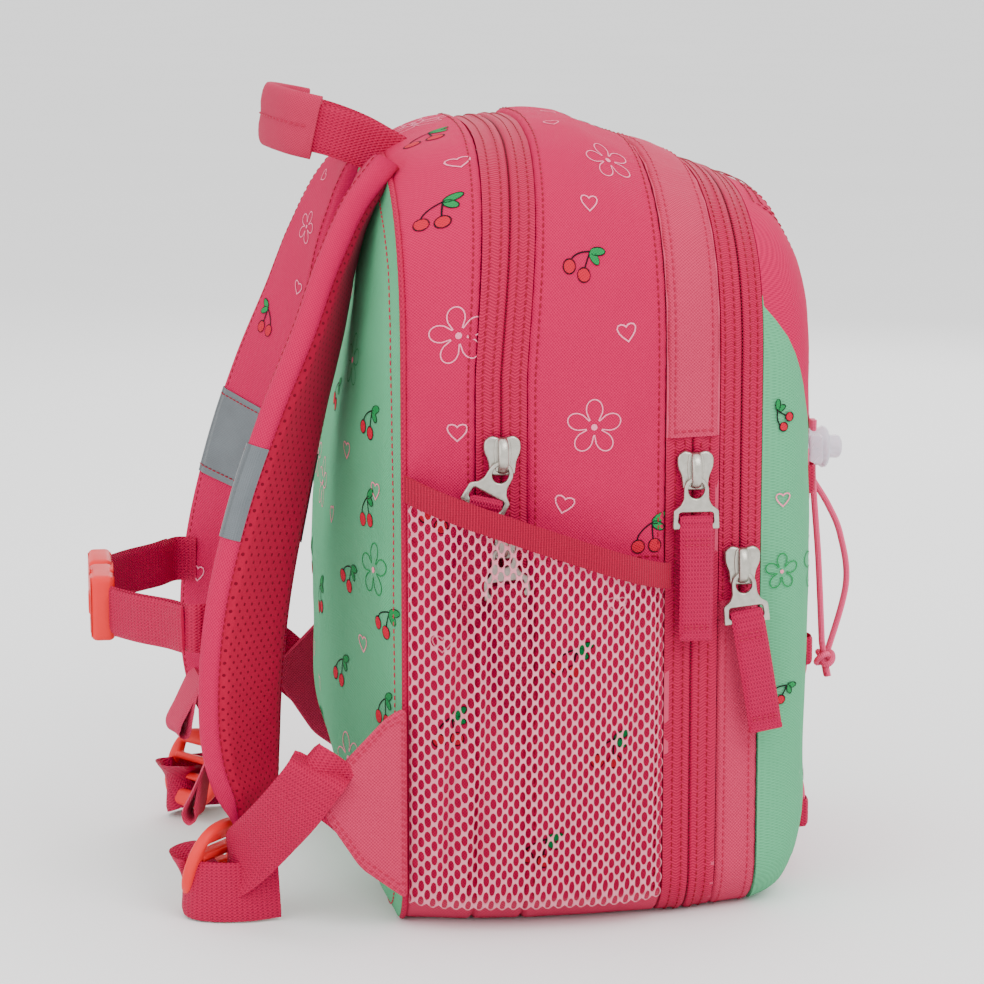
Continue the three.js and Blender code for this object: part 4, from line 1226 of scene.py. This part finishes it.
def make_strap(side):
    name = "left" if side > 0 else "right"
    body = f"{name}_strap"
    frames = strap_frames(side)
    length = 300.0

    def crown(across, t):
        """Half the pad's thickness, round at the edges and pinched where it is stitched."""
        edge = max(1 - abs(across), 0.0)
        full = PAD / 2 * (1 - (1 - min(edge / 0.24, 1.0)) ** 2.4) ** 0.5
        pinch = 1.1 * math.exp(-((edge - 0.15) / 0.045) ** 2)
        lumps = 0.5 * rough(across * 22, t * length, 41 + side, 14) * smooth(0.1, 0.4, edge)
        close = smooth(1.0, 0.93, t) * 0.75 + 0.25
        return max(full * close - pinch * 0.8 + lumps, 0.6)

    def outer(t, c, lift=0.0):
        return strap_point(frames, t, c * 1.03, crown(c, t) + 0.6 + lift)

    def inner(t, c, lift=0.0):
        return strap_point(frames, t, c * 1.03, -crown(c, t) - 0.2 - lift)

    around = [("outer", math.sin(a)) for a in spread(-math.pi / 2, math.pi / 2, 34)]
    around = [("inner", c) for c in (-SEAM, -0.92, -0.96, -0.99)] + around
    around += [("inner", c) for c in (0.99, 0.96, 0.92, SEAM)]
    ts = spread(0, 1, 150)
    piece = Piece()
    rows = [[(outer if face == "outer" else inner)(t, c) for face, c in around] for t in ts]
    run = [0.0]
    for a, b in zip(rows[0], rows[0][1:]):
        run.append(run[-1] + (b - a).length)
    piece.grid(rows, [[(t * length, v) for v in run] for t in ts], "print", flip=side < 0)
    shares = spread(-SEAM, SEAM, 18)
    knit = [[inner(t, c, 0.8 * (1 - abs(c / SEAM) ** 6)) for c in shares] for t in ts]
    piece.grid(knit, [[(t * length, c * 24) for c in shares] for t in ts], "air", flip=side > 0)
    for end in (0, -1):
        ring = rows[end] + list(reversed(knit[end]))
        piece.add(ring, [tuple(range(len(ring)))], [(0, 0)] * len(ring), "print")
    for c in (-SEAM - 0.02, SEAM + 0.02):
        line = [inner(t, c, 0.1) for t in spread(0.01, 0.97, 170)]
        piece.stitches(line, Vector((0, -1, 0)), "thread")
    for c in (-0.8, 0.8):
        line = [outer(t, c, 0.05) for t in spread(0.01, 0.97, 170)]
        piece.stitches(line, Vector((0, 1, 0)), "thread")
    for kind, t, c, turn, size in STRAP_PRINTS:
        def on_strap(a, b, t=t, c=c):
            share = c + a / 24
            place = t - b / length
            return outer(place, share, 0.3)
        draw(piece, kind, on_strap, turn, size)
    pad = piece.make(f"{name} shoulder strap", body, [f"{body}_foam", f"{body}_cover"])

    piece = Piece()
    low, high = 0.49, 0.6
    rows = []
    for t in spread(low, high, 26):
        rows.append([(outer if face == "outer" else inner)(t, c * 1.015, 0.7) for face, c in around[1:-1]])
    uvs = [[(i * 1.7, v) for v in run[1:-1]] for i in range(len(rows))]
    piece.grid(rows, uvs, "reflector", flip=side < 0)
    for t in (low + 0.008, high - 0.008):
        line = [outer(t, c, 0.9) for c in spread(-0.95, 0.95, 24)]
        piece.stitches(line, Vector((0, 1, 0)), "thread")
    piece.make(f"{name} reflective patch", body, [f"{name}_strap_reflector"])

    piece = Piece()
    tab = catmull([(-68, 124, 68), (-69, 128, 60), (-70, 130, 50), (-71, 131.6, 42), (-71, 134.6, 41),
                   (-71, 135.6, 45), (-71, 131.2, 54), (-70, 125, 67)], 50)
    piece.sweep([(side * x, y, z) for x, y, z in tab], (1, -side * 0.3, 0),
                ribbon_section(21, 1.5), "rose")
    piece.make(f"{name} ladder lock tab", body, [f"{name}_strap_tab"])


def ribbon_section(width, thick, count=11):
    """A flat woven strip's section with rounded selvedges and a slight crown."""
    top = []
    for share in spread(-1, 1, count - 1):
        half = thick / 2 * (1 - abs(share) ** 8) ** 0.5 + 0.02
        top.append((share * width / 2, half))
    return top + [(a, -b) for a, b in reversed(top)]


# ---------------------------------------------------------------- carry handle
def make_handle():
    loop = [(-28, 40, 303), (-31, 54, 311), (-33, 70, 317), (-26, 87, 321), (0, 95, 323), (26, 87, 321),
            (33, 70, 317), (31, 54, 311), (28, 40, 303)]
    route = catmull(loop, 90)
    piece = Piece()
    piece.sweep(route, (0, -0.1, 1), ribbon_section(20, 2.2), "webbing")
    for side in (1, -1):
        for edge in (-7, 7):
            line = [Vector((side * (31.6 + 1.5 * i / 6), 54 + i * 1.6, 312 + edge)) for i in range(7)]
            piece.stitches(line, Vector((side, 0, 0)), "thread")
    piece.make("carry handle", "handle", ["carry_handle"])

    middle = route[27:64]
    piece = Piece()

    def sleeve(t):
        puff = 1 + 0.1 * math.sin(math.pi * clamp(t)) ** 0.5
        ring = []
        for k in range(28):
            a = 2 * math.pi * k / 28
            c, s = math.cos(a), math.sin(a)
            wide = 13.2 * power_of(c, 0.7)
            deep = 2.9 * puff * power_of(s, 0.8)
            seam = 1 - 0.16 * math.exp(-(wide / 1.2) ** 2)
            ring.append((wide, deep * seam + 0.3 * rough(a * 9, t * 80, 51, 9)))
        return ring

    piece.sweep(middle, (0, -0.1, 1), sleeve, "cover")
    frames = route_frames(middle, (0, -0.1, 1))
    for sign in (1, -1):
        line = [p + n * sign * 3.0 for p, a, n in frames[2:-2]]
        piece.stitches(line, [n * sign for p, a, n in frames[2:-2]], "pale thread")
    cover = piece.make("handle cover", "handle", ["handle_cover"])


# ---------------------------------------------------------------- moulded parts made from rounded outlines
def plate_mesh(loops, thick, bevel, segments=3):
    """Vertices and faces of a flat plate with rounded edges. The loops after the first are holes."""
    curve = bpy.data.curves.new("outline", "CURVE")
    curve.dimensions = "2D"
    curve.fill_mode = "BOTH"
    curve.extrude = thick / 2 - bevel
    curve.bevel_depth = bevel
    curve.bevel_resolution = segments
    curve.offset = -bevel
    for loop in loops:
        spline = curve.splines.new("POLY")
        spline.points.add(len(loop) - 1)
        for point, (a, b) in zip(spline.points, loop):
            point.co = (a, b, 0, 1)
        spline.use_cyclic_u = True
    shape = bpy.data.objects.new("outline", curve)
    mesh = bpy.data.meshes.new_from_object(shape)
    verts = [Vector(v.co) for v in mesh.vertices]
    faces = [tuple(p.vertices) for p in mesh.polygons]
    bpy.data.objects.remove(shape)
    bpy.data.curves.remove(curve)
    bpy.data.meshes.remove(mesh)
    return verts, faces


def add_plate(piece, loops, thick, bevel, finish, matrix):
    verts, faces = plate_mesh(loops, thick, bevel)
    piece.add([matrix @ v for v in verts], faces, [(v.x, v.y) for v in verts], finish)


def round_loop(corners, radius, steps=5):
    """An outline with each corner rounded off."""
    line = []
    count = len(corners)
    for i, corner in enumerate(corners):
        here = Vector(corner)
        before, after = Vector(corners[i - 1]) - here, Vector(corners[(i + 1) % count]) - here
        r = min(radius, before.length * 0.45, after.length * 0.45)
        a, b = here + before.normalized() * r, here + after.normalized() * r
        for t in spread(0, 1, steps):
            line.append(tuple(a.lerp(here, t).lerp(here.lerp(b, t), t)))
    return line


def rectangle(width, height, x=0.0, y=0.0):
    w, h = width / 2, height / 2
    return [(x - w, y - h), (x + w, y - h), (x + w, y + h), (x - w, y + h)]


def basis(origin, x_axis, y_axis, z_axis):
    matrix = Matrix((x_axis, y_axis, z_axis)).transposed().to_4x4()
    matrix.translation = Vector(origin)
    return matrix


# ---------------------------------------------------------------- lower webbing and ladder locks
def make_lower(side):
    name = "left" if side > 0 else "right"
    piece = Piece()
    corners = [(50.2, 14), (50.2, 94), (58, 90), (84, 63), (84.5, 52), (69, 28)]
    seat = basis((side * -112.2, 0, 0), (0, 1, 0), (0, 0, 1), (side * -1.0, 0, 0))
    add_plate(piece, [round_loop(corners, 4)], 3.2, 1.2, "rose", seat)
    for inset in (0.86, 0.94):
        line = []
        for a, b in zip(corners, corners[1:] + corners[:1]):
            for t in spread(0, 0.95, 10):
                y, z = lerp(a[0], b[0], t), lerp(a[1], b[1], t)
                line.append(Vector((side * -113.9, 64 + (y - 64) * inset, 58 + (z - 58) * inset)))
        piece.stitches(line, Vector((-side, 0, 0)), "pale thread")
    piece.make(f"{name} strap wing", "bag", [f"strap_wing_{name}"])

    piece = Piece()
    rise = catmull([(-112.2, 64, 46), (-112.2, 72, 54), (-113.4, 80, 61), (-116, 87, 67), (-115, 92, 70),
                    (-111.6, 93, 70.5)], 36)
    piece.sweep([(side * x, y, z) for x, y, z in rise], (0, 0.66, -0.75), ribbon_section(25, 1.7),
                "webbing")
    fall = catmull([(-112, 84, 71, 0, 0.8, 0.3), (-118.2, 88, 67, 0, 0.8, 0.36),
                    (-114, 97, 54, 0.1, 0.8, 0.6), (-104, 106, 41, 0.15, 0.75, 0.62),
                    (-92, 114, 29, 0.5, 0.6, 0.6),
                    (-82, 119, 20, 0.9, 0.2, 0.3), (-73, 121, 15, 1, -0.1, 0.1)], 80)
    piece.sweep([(side * s[0], s[1], s[2]) for s in fall], [(s[3], side * s[4], side * s[5]) for s in fall],
                ribbon_section(25, 1.7), "webbing")
    web = piece.make(f"{name} lower webbing", None, [f"lower_webbing_{name}"])
    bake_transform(web)

    tail = catmull([(-70, 127, 24, 0.9, 0, 0.4), (-72, 134, 19, 0.5, 0.1, 0.8), (-78, 138, 14.4, 0.1, 0, 1),
                    (-85, 134, 13.4, 0, 0, 1), (-89, 124, 13.2, 0, 0, 1), (-90, 112, 13.4, 0, 0.1, 1),
                    (-88, 100, 14, 0, 0.1, 1)], 70)
    piece = Piece()
    piece.sweep([(side * s[0], s[1], s[2]) for s in tail], [(s[3], side * s[4], side * s[5]) for s in tail],
                ribbon_section(25, 1.7), "webbing")
    piece.make(f"{name} webbing tail", f"{name}_strap")

    piece = Piece()
    tilt = math.radians(20)
    spin = Matrix.Rotation(math.radians(-38 * side), 3, "Z")
    axes = [spin @ Vector(axis) for axis in ((1, 0, 0), (0, -math.sin(tilt), math.cos(tilt)),
                                             (0, -math.cos(tilt), -math.sin(tilt)))]
    lean = basis((side * -73, 126, 23), *axes)
    oval = [(18 * power_of(math.cos(a), 0.8), 18 * power_of(math.sin(a), 0.9))
            for a in spread(0, 2 * math.pi * 39 / 40, 39)]
    slots = [round_loop(rectangle(27 - abs(y) * 0.5, 4.5, 0, y), 1.2) for y in (-8, 0, 8)]
    add_plate(piece, [oval] + slots, 5, 1.9, "salmon", lean)
    for y in (-4, 4):
        add_plate(piece, [round_loop(rectangle(29 - abs(y), 3.0, 0, y), 1.2)], 6.4, 1.3, "salmon", lean)
    piece.make(f"{name} ladder lock", f"{name}_ladder_lock", [f"ladder_lock_{name}"])


# ---------------------------------------------------------------- chest strap and its buckle
CHEST_Z, BUCKLE_Y = 120.0, 168.0


def make_chest():
    route = [(-72, 124, CHEST_Z), (-74, 133, CHEST_Z), (-62, 141, CHEST_Z), (-48, 154, CHEST_Z),
             (-33, 164, CHEST_Z), (-26, 166.5, CHEST_Z)]
    for side, body, node in ((1, "left_strap", "chest_webbing_left"), (-1, None, "chest_webbing_right")):
        line = catmull(route, 60)
        piece = Piece()
        points = [Vector((side * x, y, z)) for x, y, z in line]
        piece.sweep(points, (0, 0, 1), ribbon_section(20, 1.7), "webbing")
        fold = [Vector((side * x, y + 2.4 + 0.5 * math.sin(i / 6), z - 0.5))
                for i, (x, y, z) in enumerate(line[14:46])]
        piece.sweep(fold, (0, 0.05, 1), ribbon_section(20, 1.5), "webbing")
        for z in (-7.5, 7.5):
            seam = [Vector((side * (-70 + i * 0.9), 137.6 + i * 0.6, CHEST_Z + z)) for i in range(8)]
            piece.stitches(seam, Vector((-side * 0.5, 0.9, 0)), "thread")
        web = piece.make(f"chest webbing {'left' if side > 0 else 'right'}", body, [node])
        if side < 0:
            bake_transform(web)

    facing = basis((0, BUCKLE_Y, CHEST_Z), (1, 0, 0), (0, 0, 1), (0, -1, 0))
    piece = Piece()
    outline = round_loop([(-32, -14), (6, -12.5), (6, 12.5), (-32, 14)], 4)
    side_gaps = [round_loop(rectangle(10, 5, -7, y), 1.6) for y in (-9.6, 9.6)]
    slot = round_loop(rectangle(3.6, 20.8, -27, 0), 1.2)
    add_plate(piece, [outline, slot] + side_gaps, 10, 2.6, "salmon", facing)
    for shift in (-2.6, 2.6):
        ridge = basis((0, BUCKLE_Y + shift * 1.9, CHEST_Z), (1, 0, 0), (0, 0, 1), (0, -1, 0))
        add_plate(piece, [round_loop(rectangle(12, 9, -15, 0), 3)], 1.6, 0.7, "salmon", ridge)
    piece.make("buckle socket", "left_strap", ["chest_buckle_female"])

    piece = Piece()
    outline = round_loop([(6.7, -13), (32, -14), (32, 14), (6.7, 13)], 3.5)
    slot = round_loop(rectangle(3.6, 20.8, 27, 0), 1.2)
    add_plate(piece, [outline, slot], 10, 2.6, "salmon", facing)
    for y in (-7.5, 0, 7.5):
        prong = round_loop([(-13, y - 1.8), (8, y - 2.3), (8, y + 2.3), (-13, y + 1.8)], 1.6)
        add_plate(piece, [prong], 4.4, 1.2, "salmon", facing)
    piece.make("buckle plug", "buckle_plug", ["chest_buckle_male"])


# ---------------------------------------------------------------- zip sliders and pulls
SLIDERS = [
    # name, place along Y, height, lean of the link and of its tape
    ("main_upper", 12.5, 195.5, 30, 12), ("main_lower", 12.5, 162, -6, -6),
    ("middle", -65.8, 187, 0, 0), ("pocket", POCKET_SPLIT, 147, -6, -10),
]
OUTWARD = Vector((-1, 0, 0))      # out of the bag's left side
PLATE_THICK, BAIL, BRIDGE, POST, LINK_REST = 3.0, 4.2, 1.2, 5.4, 2.2


def side_basis(y, z, out, lean=0.0):
    """x toward the front, y up, z out of the bag's left side. A positive lean hangs toward the wearer."""
    c, s = math.cos(math.radians(lean)), -math.sin(math.radians(lean))
    return basis((-out, y, z), (0, -c, s), (0, s, c), (-1, 0, 0))


def make_slider(name, y, z, lean, tape_lean):
    face = max(outline_at(y + d)[0] for d in (-7.5, 0, 7.5)) + 0.3
    seat = side_basis(y, z, face + PLATE_THICK / 2)
    half = [(1.6, 7.2), (4.6, 8.0), (7.3, 6.0), (7.4, 1.6), (5.6, -2.4), (5.1, -7.4), (3.4, -8.0)]
    crown = round_loop([(0, 5.9)] + half + [(-a, b) for a, b in reversed(half)], 1.9)
    piece = Piece()
    add_plate(piece, [crown], PLATE_THICK, 1.0, "nickel", seat)
    raised = side_basis(y, z, face + PLATE_THICK + 0.1)
    panel = [(-2.8, 7.0), (-3.6, 2), (-2.8, -6.6), (2.8, -6.6), (3.6, 2), (2.8, 7.0)]
    add_plate(piece, [round_loop(panel, 1.5)], 1.0, 0.45, "nickel", raised)
    climb = [(POST + 1.0, 1.4), (POST + 0.9, 3.4), (POST - 0.5, 5.0), (POST - 2.6, 6.0)]
    arch = [(0, b, h) for b, h in climb] + [(0, 0, 6.4)] + [(0, -b, h) for b, h in reversed(climb)]
    line = [side_basis(y, z, face) @ Vector(p) for p in catmull(arch, 36)]
    section = [(2.05 * power_of(math.cos(a), 0.75), 0.85 * math.sin(a))
               for a in spread(0, 2 * math.pi * 13 / 14, 13)]
    piece.sweep(line, (0, 1, 0), section, "nickel")
    piece.make(f"{name} slider", f"{name}_slider", [f"{name}_zip_slider"])

    turn = math.radians(lean)
    bar_y, bar_z = y - LINK_REST * math.sin(turn), z - POST + LINK_REST * math.cos(turn)
    out = face + PLATE_THICK + (BAIL - BRIDGE) / 2
    hang = side_basis(bar_y, bar_z, out, lean)
    piece = Piece()
    ring = [(5.1 * math.cos(a), -4.3 + 5.2 * math.sin(a)) for a in spread(math.pi, 0, 16)]
    outline = ring + [(5.2, -8.2), (6.4, -10.6), (9.2, -12.6), (9.5, -20.2), (-9.5, -20.2), (-9.2, -12.6),
                      (-6.4, -10.6), (-5.2, -8.2)]
    eye = [(3.3 * math.cos(a), -4.3 + 3.5 * math.sin(a)) for a in spread(0, 2 * math.pi * 21 / 22, 21)]
    slot = round_loop([(-6.9, -13.4), (6.9, -13.4), (7.1, -17.8), (-7.1, -17.8)], 1.1)
    add_plate(piece, [round_loop(outline, 0.7, 2), eye, slot], 1.9, 0.75, "nickel", hang)
    piece.make(f"{name} pull", f"{name}_pull", [f"{name}_zip_pull"])

    start = hang @ Vector((0, -15.6, 0))
    c, s = math.cos(math.radians(tape_lean)), -math.sin(math.radians(tape_lean))
    down, across = Vector((0, -s, -c)), Vector((0, -c, s))
    tucked = name == "main_upper"
    front = 0.3 if tucked else 1.2
    stations = []
    for t in spread(0, 1, 40):
        sag = 1.0 * math.sin(math.pi * t) * (0 if tucked else 1)
        stations.append(start + down * (t * 47 + 1.2) + OUTWARD * (front + sag) * smooth(0, 0.08, t))
    piece = Piece()
    piece.sweep(stations, across, ribbon_section(13.6, 2.4 if not tucked else 1.9), "pull")
    loop = [start + OUTWARD * 1.5 * math.sin(a) + down * (1.6 - 2.0 * math.cos(a))
            for a in spread(0, 2 * math.pi, 16)]
    piece.sweep(loop, across, ribbon_section(13.2, 1.1), "pull")
    for share in (0.17, 0.2, 0.9, 0.93):
        row = [stations[int(share * 40)] + across * d + OUTWARD * 1.35 for d in spread(-5.4, 5.4, 6)]
        piece.stitches(row, OUTWARD, "pale thread", 2.2, 1.5)
    end = stations[-1]
    cap = basis(end + down * 0.4, across, down, OUTWARD)
    add_plate(piece, [round_loop(rectangle(13.8, 2.6), 1.0)], 2.6, 0.9, "pull", cap)
    piece.make(f"{name} pull tape", f"{name}_pull", [f"{name}_pull_tape"])


# ---------------------------------------------------------------- lacing, elastic cord and its lock
LACE_ROWS, LACE_SIDE, LACE_FACE = (171, 97, 26), 44.0, -123.6
CORD_RADIUS = 1.4
LOCK_X, LOCK_Z, STRAND_Y = -8.0, 178.0, -139.0


def make_lacing():
    for name, z in zip(("upper", "middle", "lower"), LACE_ROWS):
        piece = Piece()
        y = -123.0 if name == "lower" else LACE_FACE
        for side in (1, -1):
            x = side * LACE_SIDE
            line = [(x - side * 40, y - 0.6, z), (x - side * 9, y - 0.7, z), (x - side * 6.2, y - 2.2, z),
                    (x - side * 5.2, y - 5.8, z), (x, y - 7.2, z), (x + side * 5.2, y - 5.8, z),
                    (x + side * 6.2, y - 2.2, z), (x + side * 7, y - 0.7, z)]
            route = catmull(line, 60)
            piece.sweep(route, (0, 0, 1), ribbon_section(12, 1.3), "webbing")
            for offset in (-9.5, 7.2):
                row = [Vector((x + side * offset, y - 1.6, z + d)) for d in spread(-5, 5, 6)]
                piece.stitches(row, Vector((0, -1, 0)), "pale thread", 2.0, 1.4)
        piece.make(f"{name} lacing tab", "bag", [f"lace_tab_{name}"])


def lace_points():
    upper, middle, lower = LACE_ROWS
    side, y = LACE_SIDE, LACE_FACE - 3.9
    return [
        (LOCK_X + 2, y - 1.2, LOCK_Z + 13), (side * 0.4, y - 0.6, upper + 16), (side - 1, y, upper + 12),
        (side, y, upper), (side - 1, y, upper - 12), (0, y - 4, (upper + middle) / 2),
        (1 - side, y, middle + 12), (-side, y, middle), (1 - side, y, middle - 12),
        (0, y + 0.6, (middle + lower) / 2),
        (side - 1, y, lower + 12), (side, y, lower),
    ]


def tail_points():
    spread_x = 1.8
    inner = [(LOCK_X - spread_x, STRAND_Y, LOCK_Z + 12), (LOCK_X - spread_x, STRAND_Y, LOCK_Z - 12),
             (LOCK_X - 2, -142, 130), (LOCK_X - 1.6, -144.4, 91.5)]
    outer = [(LOCK_X + spread_x, STRAND_Y, LOCK_Z + 12), (LOCK_X + spread_x, STRAND_Y, LOCK_Z - 8),
             (LOCK_X + spread_x, STRAND_Y, LOCK_Z - 13), (LOCK_X + 2.4, -147, 152), (LOCK_X + 3, -153, 138),
             (LOCK_X + 3.5, -156, 116), (LOCK_X + 1.6, -147.6, 86)]
    return inner, outer


def make_cord():
    """The lacing is held along its route. The two tails hang free from the lock to a shared knot."""
    piece = Piece()
    piece.tube(catmull(lace_points(), 220), CORD_RADIUS, "elastic", 12)
    mirror = [(-x, y - 0.2, z) for x, y, z in lace_points()[2:]]
    piece.tube(catmull(mirror, 200), CORD_RADIUS, "elastic", 12)
    piece.make("elastic lacing", "bag", ["lace_cord"])

    knot = Piece()
    centre = Vector((LOCK_X, -146, 84))
    wrap = []
    for t in spread(0, 1, 90):
        a = 2 * math.pi * t * 2
        radius = 3.0 + 1.1 * math.cos(1.5 * a)
        wrap.append((radius * math.cos(a), radius * math.sin(a) * 0.9, 2.4 * math.sin(1.5 * a)))
    for strand in (wrap, [(-1.6, 1.6, 7.5), (-0.4, 0.2, 0), (-3.6, -1, -7.5)],
                   [(1.6, -1.6, 2), (0.6, 0, -2), (3.2, -2, -8.5)]):
        knot.tube([centre + Vector(p) for p in strand], CORD_RADIUS, "elastic", 10)
    tied = knot.make("cord knot", "bag")
    for name, points in zip(("inner", "outer"), tail_points()):
        path = catmull(points, 90)
        piece = Piece()
        piece.tube(path, CORD_RADIUS, "elastic", 12)
        tail = piece.make(f"{name} cord tail", "bag", [f"cord_tail_{name}"])


def turned(piece, profile, centre, finish, oval=1.0, count=32):
    """A body turned about Y: profile is (radius, y) from one end to the other."""
    rows = []
    for radius, y in profile:
        rows.append([Vector((centre[0] + radius * math.cos(a), y, centre[1] + oval * radius * math.sin(a)))
                     for a in spread(0, 2 * math.pi, count)])
    piece.grid(rows, [[(k, y) for k in range(count + 1)] for _, y in profile], finish)


def make_cord_lock():
    piece = Piece()
    profile = [(0.3, -126.6), (5.0, -126.6), (7.2, -127.6), (8.0, -129.4), (8.2, -132), (8.2, -134.6),
               (7.2, -136.4), (7.2, -141.4), (8.2, -143), (8.0, -144.4), (7.2, -145.2), (5.7, -145.4),
               (5.5, -144.6), (5.5, -132.5), (0.3, -132.4)]
    turned(piece, profile, (LOCK_X, LOCK_Z), "clear", 1.12)
    for side in (1, -1):
        wing = basis((LOCK_X + side * 7.4, -138.9, LOCK_Z), (0, 1, 0), (0, 0, 1), (1, 0, 0))
        add_plate(piece, [round_loop(rectangle(6, 13), 2)], 2.0, 0.8, "clear", wing)
    piece.make("cord lock", "cord_lock", ["cord_lock_body"])
    piece = Piece()
    profile = [(0.3, -151.6), (3.4, -151.4), (4.6, -150.7), (5.1, -149.4), (5.0, -148), (4.8, -136),
               (4.4, -134), (0.3, -134)]
    turned(piece, profile, (LOCK_X, LOCK_Z), "clear")
    piece.make("cord lock plunger", "cord_plunger", ["cord_lock_plunger"])


# ---------------------------------------------------------------- floor, light and camera
def aim(obj, place, target):
    obj.location = place
    obj.rotation_euler = (Vector(target) - Vector(place)).to_track_quat("-Z", "Y").to_euler()


LAMPS = [
    # name, place and size in metres, power in watts
    ("key", (-1.3, -0.6, 1.5), 1.1, 20), ("fill", (-1.0, 1.3, 0.8), 1.4, 10),
    ("top", (0.2, 0.0, 1.8), 1.2, 9), ("far side", (1.4, -0.6, 0.9), 1.2, 8),
]
FLOOR_HALF = 30.0


def make_stage():
    mesh = bpy.data.meshes.new("floor")
    corners = [(a * FLOOR_HALF, b * FLOOR_HALF, 0) for a, b in ((-1, -1), (1, -1), (1, 1), (-1, 1))]
    mesh.from_pydata(corners, [], [(0, 1, 2, 3)])
    s = Shader("floor", 0.9)
    s.colour(s.mix(s.noise(400.0), (0.86, 0.86, 0.86), (0.9, 0.9, 0.9)))
    mesh.materials.append(s.material)
    floor = bpy.data.objects.new("floor", mesh)
    bpy.context.scene.collection.objects.link(floor)
    world = bpy.data.worlds.new("studio")
    world.use_nodes = True
    background = world.node_tree.nodes["Background"]
    background.inputs["Color"].default_value = (1.0, 1.0, 1.0, 1.0)
    background.inputs["Strength"].default_value = 1.6
    bpy.context.scene.world = world
    for name, place, size, power in LAMPS:
        lamp = bpy.data.lights.new(name, "AREA")
        lamp.size = size
        lamp.energy = power
        light = bpy.data.objects.new(name, lamp)
        bpy.context.scene.collection.objects.link(light)
        aim(light, place, (0, 0, 0.15))


def make_camera():
    azimuth, elevation, distance = math.radians(262), math.radians(10), 1.4
    target = Vector((0, 0, 0.16))       # metres, like the distance
    back = Vector((math.sin(azimuth) * math.cos(elevation), -math.cos(azimuth) * math.cos(elevation),
                   math.sin(elevation)))
    lens = bpy.data.cameras.new("camera")
    lens.lens = 118.9
    lens.sensor_width = 36
    camera = bpy.data.objects.new("camera", lens)
    bpy.context.scene.collection.objects.link(camera)
    aim(camera, target + back * distance, target)
    bpy.context.scene.camera = camera


make_camera()
make_cord()
make_cord_lock()
make_lacing()
make_back()
make_gussets()
make_middle()
make_front()
make_side_pocket(1)
make_side_pocket(-1)
make_handle()
make_strap(1)
make_strap(-1)
make_lower(1)
make_lower(-1)
make_chest()
for slider in SLIDERS:
    make_slider(*slider)
hidden_panels()
make_stage()
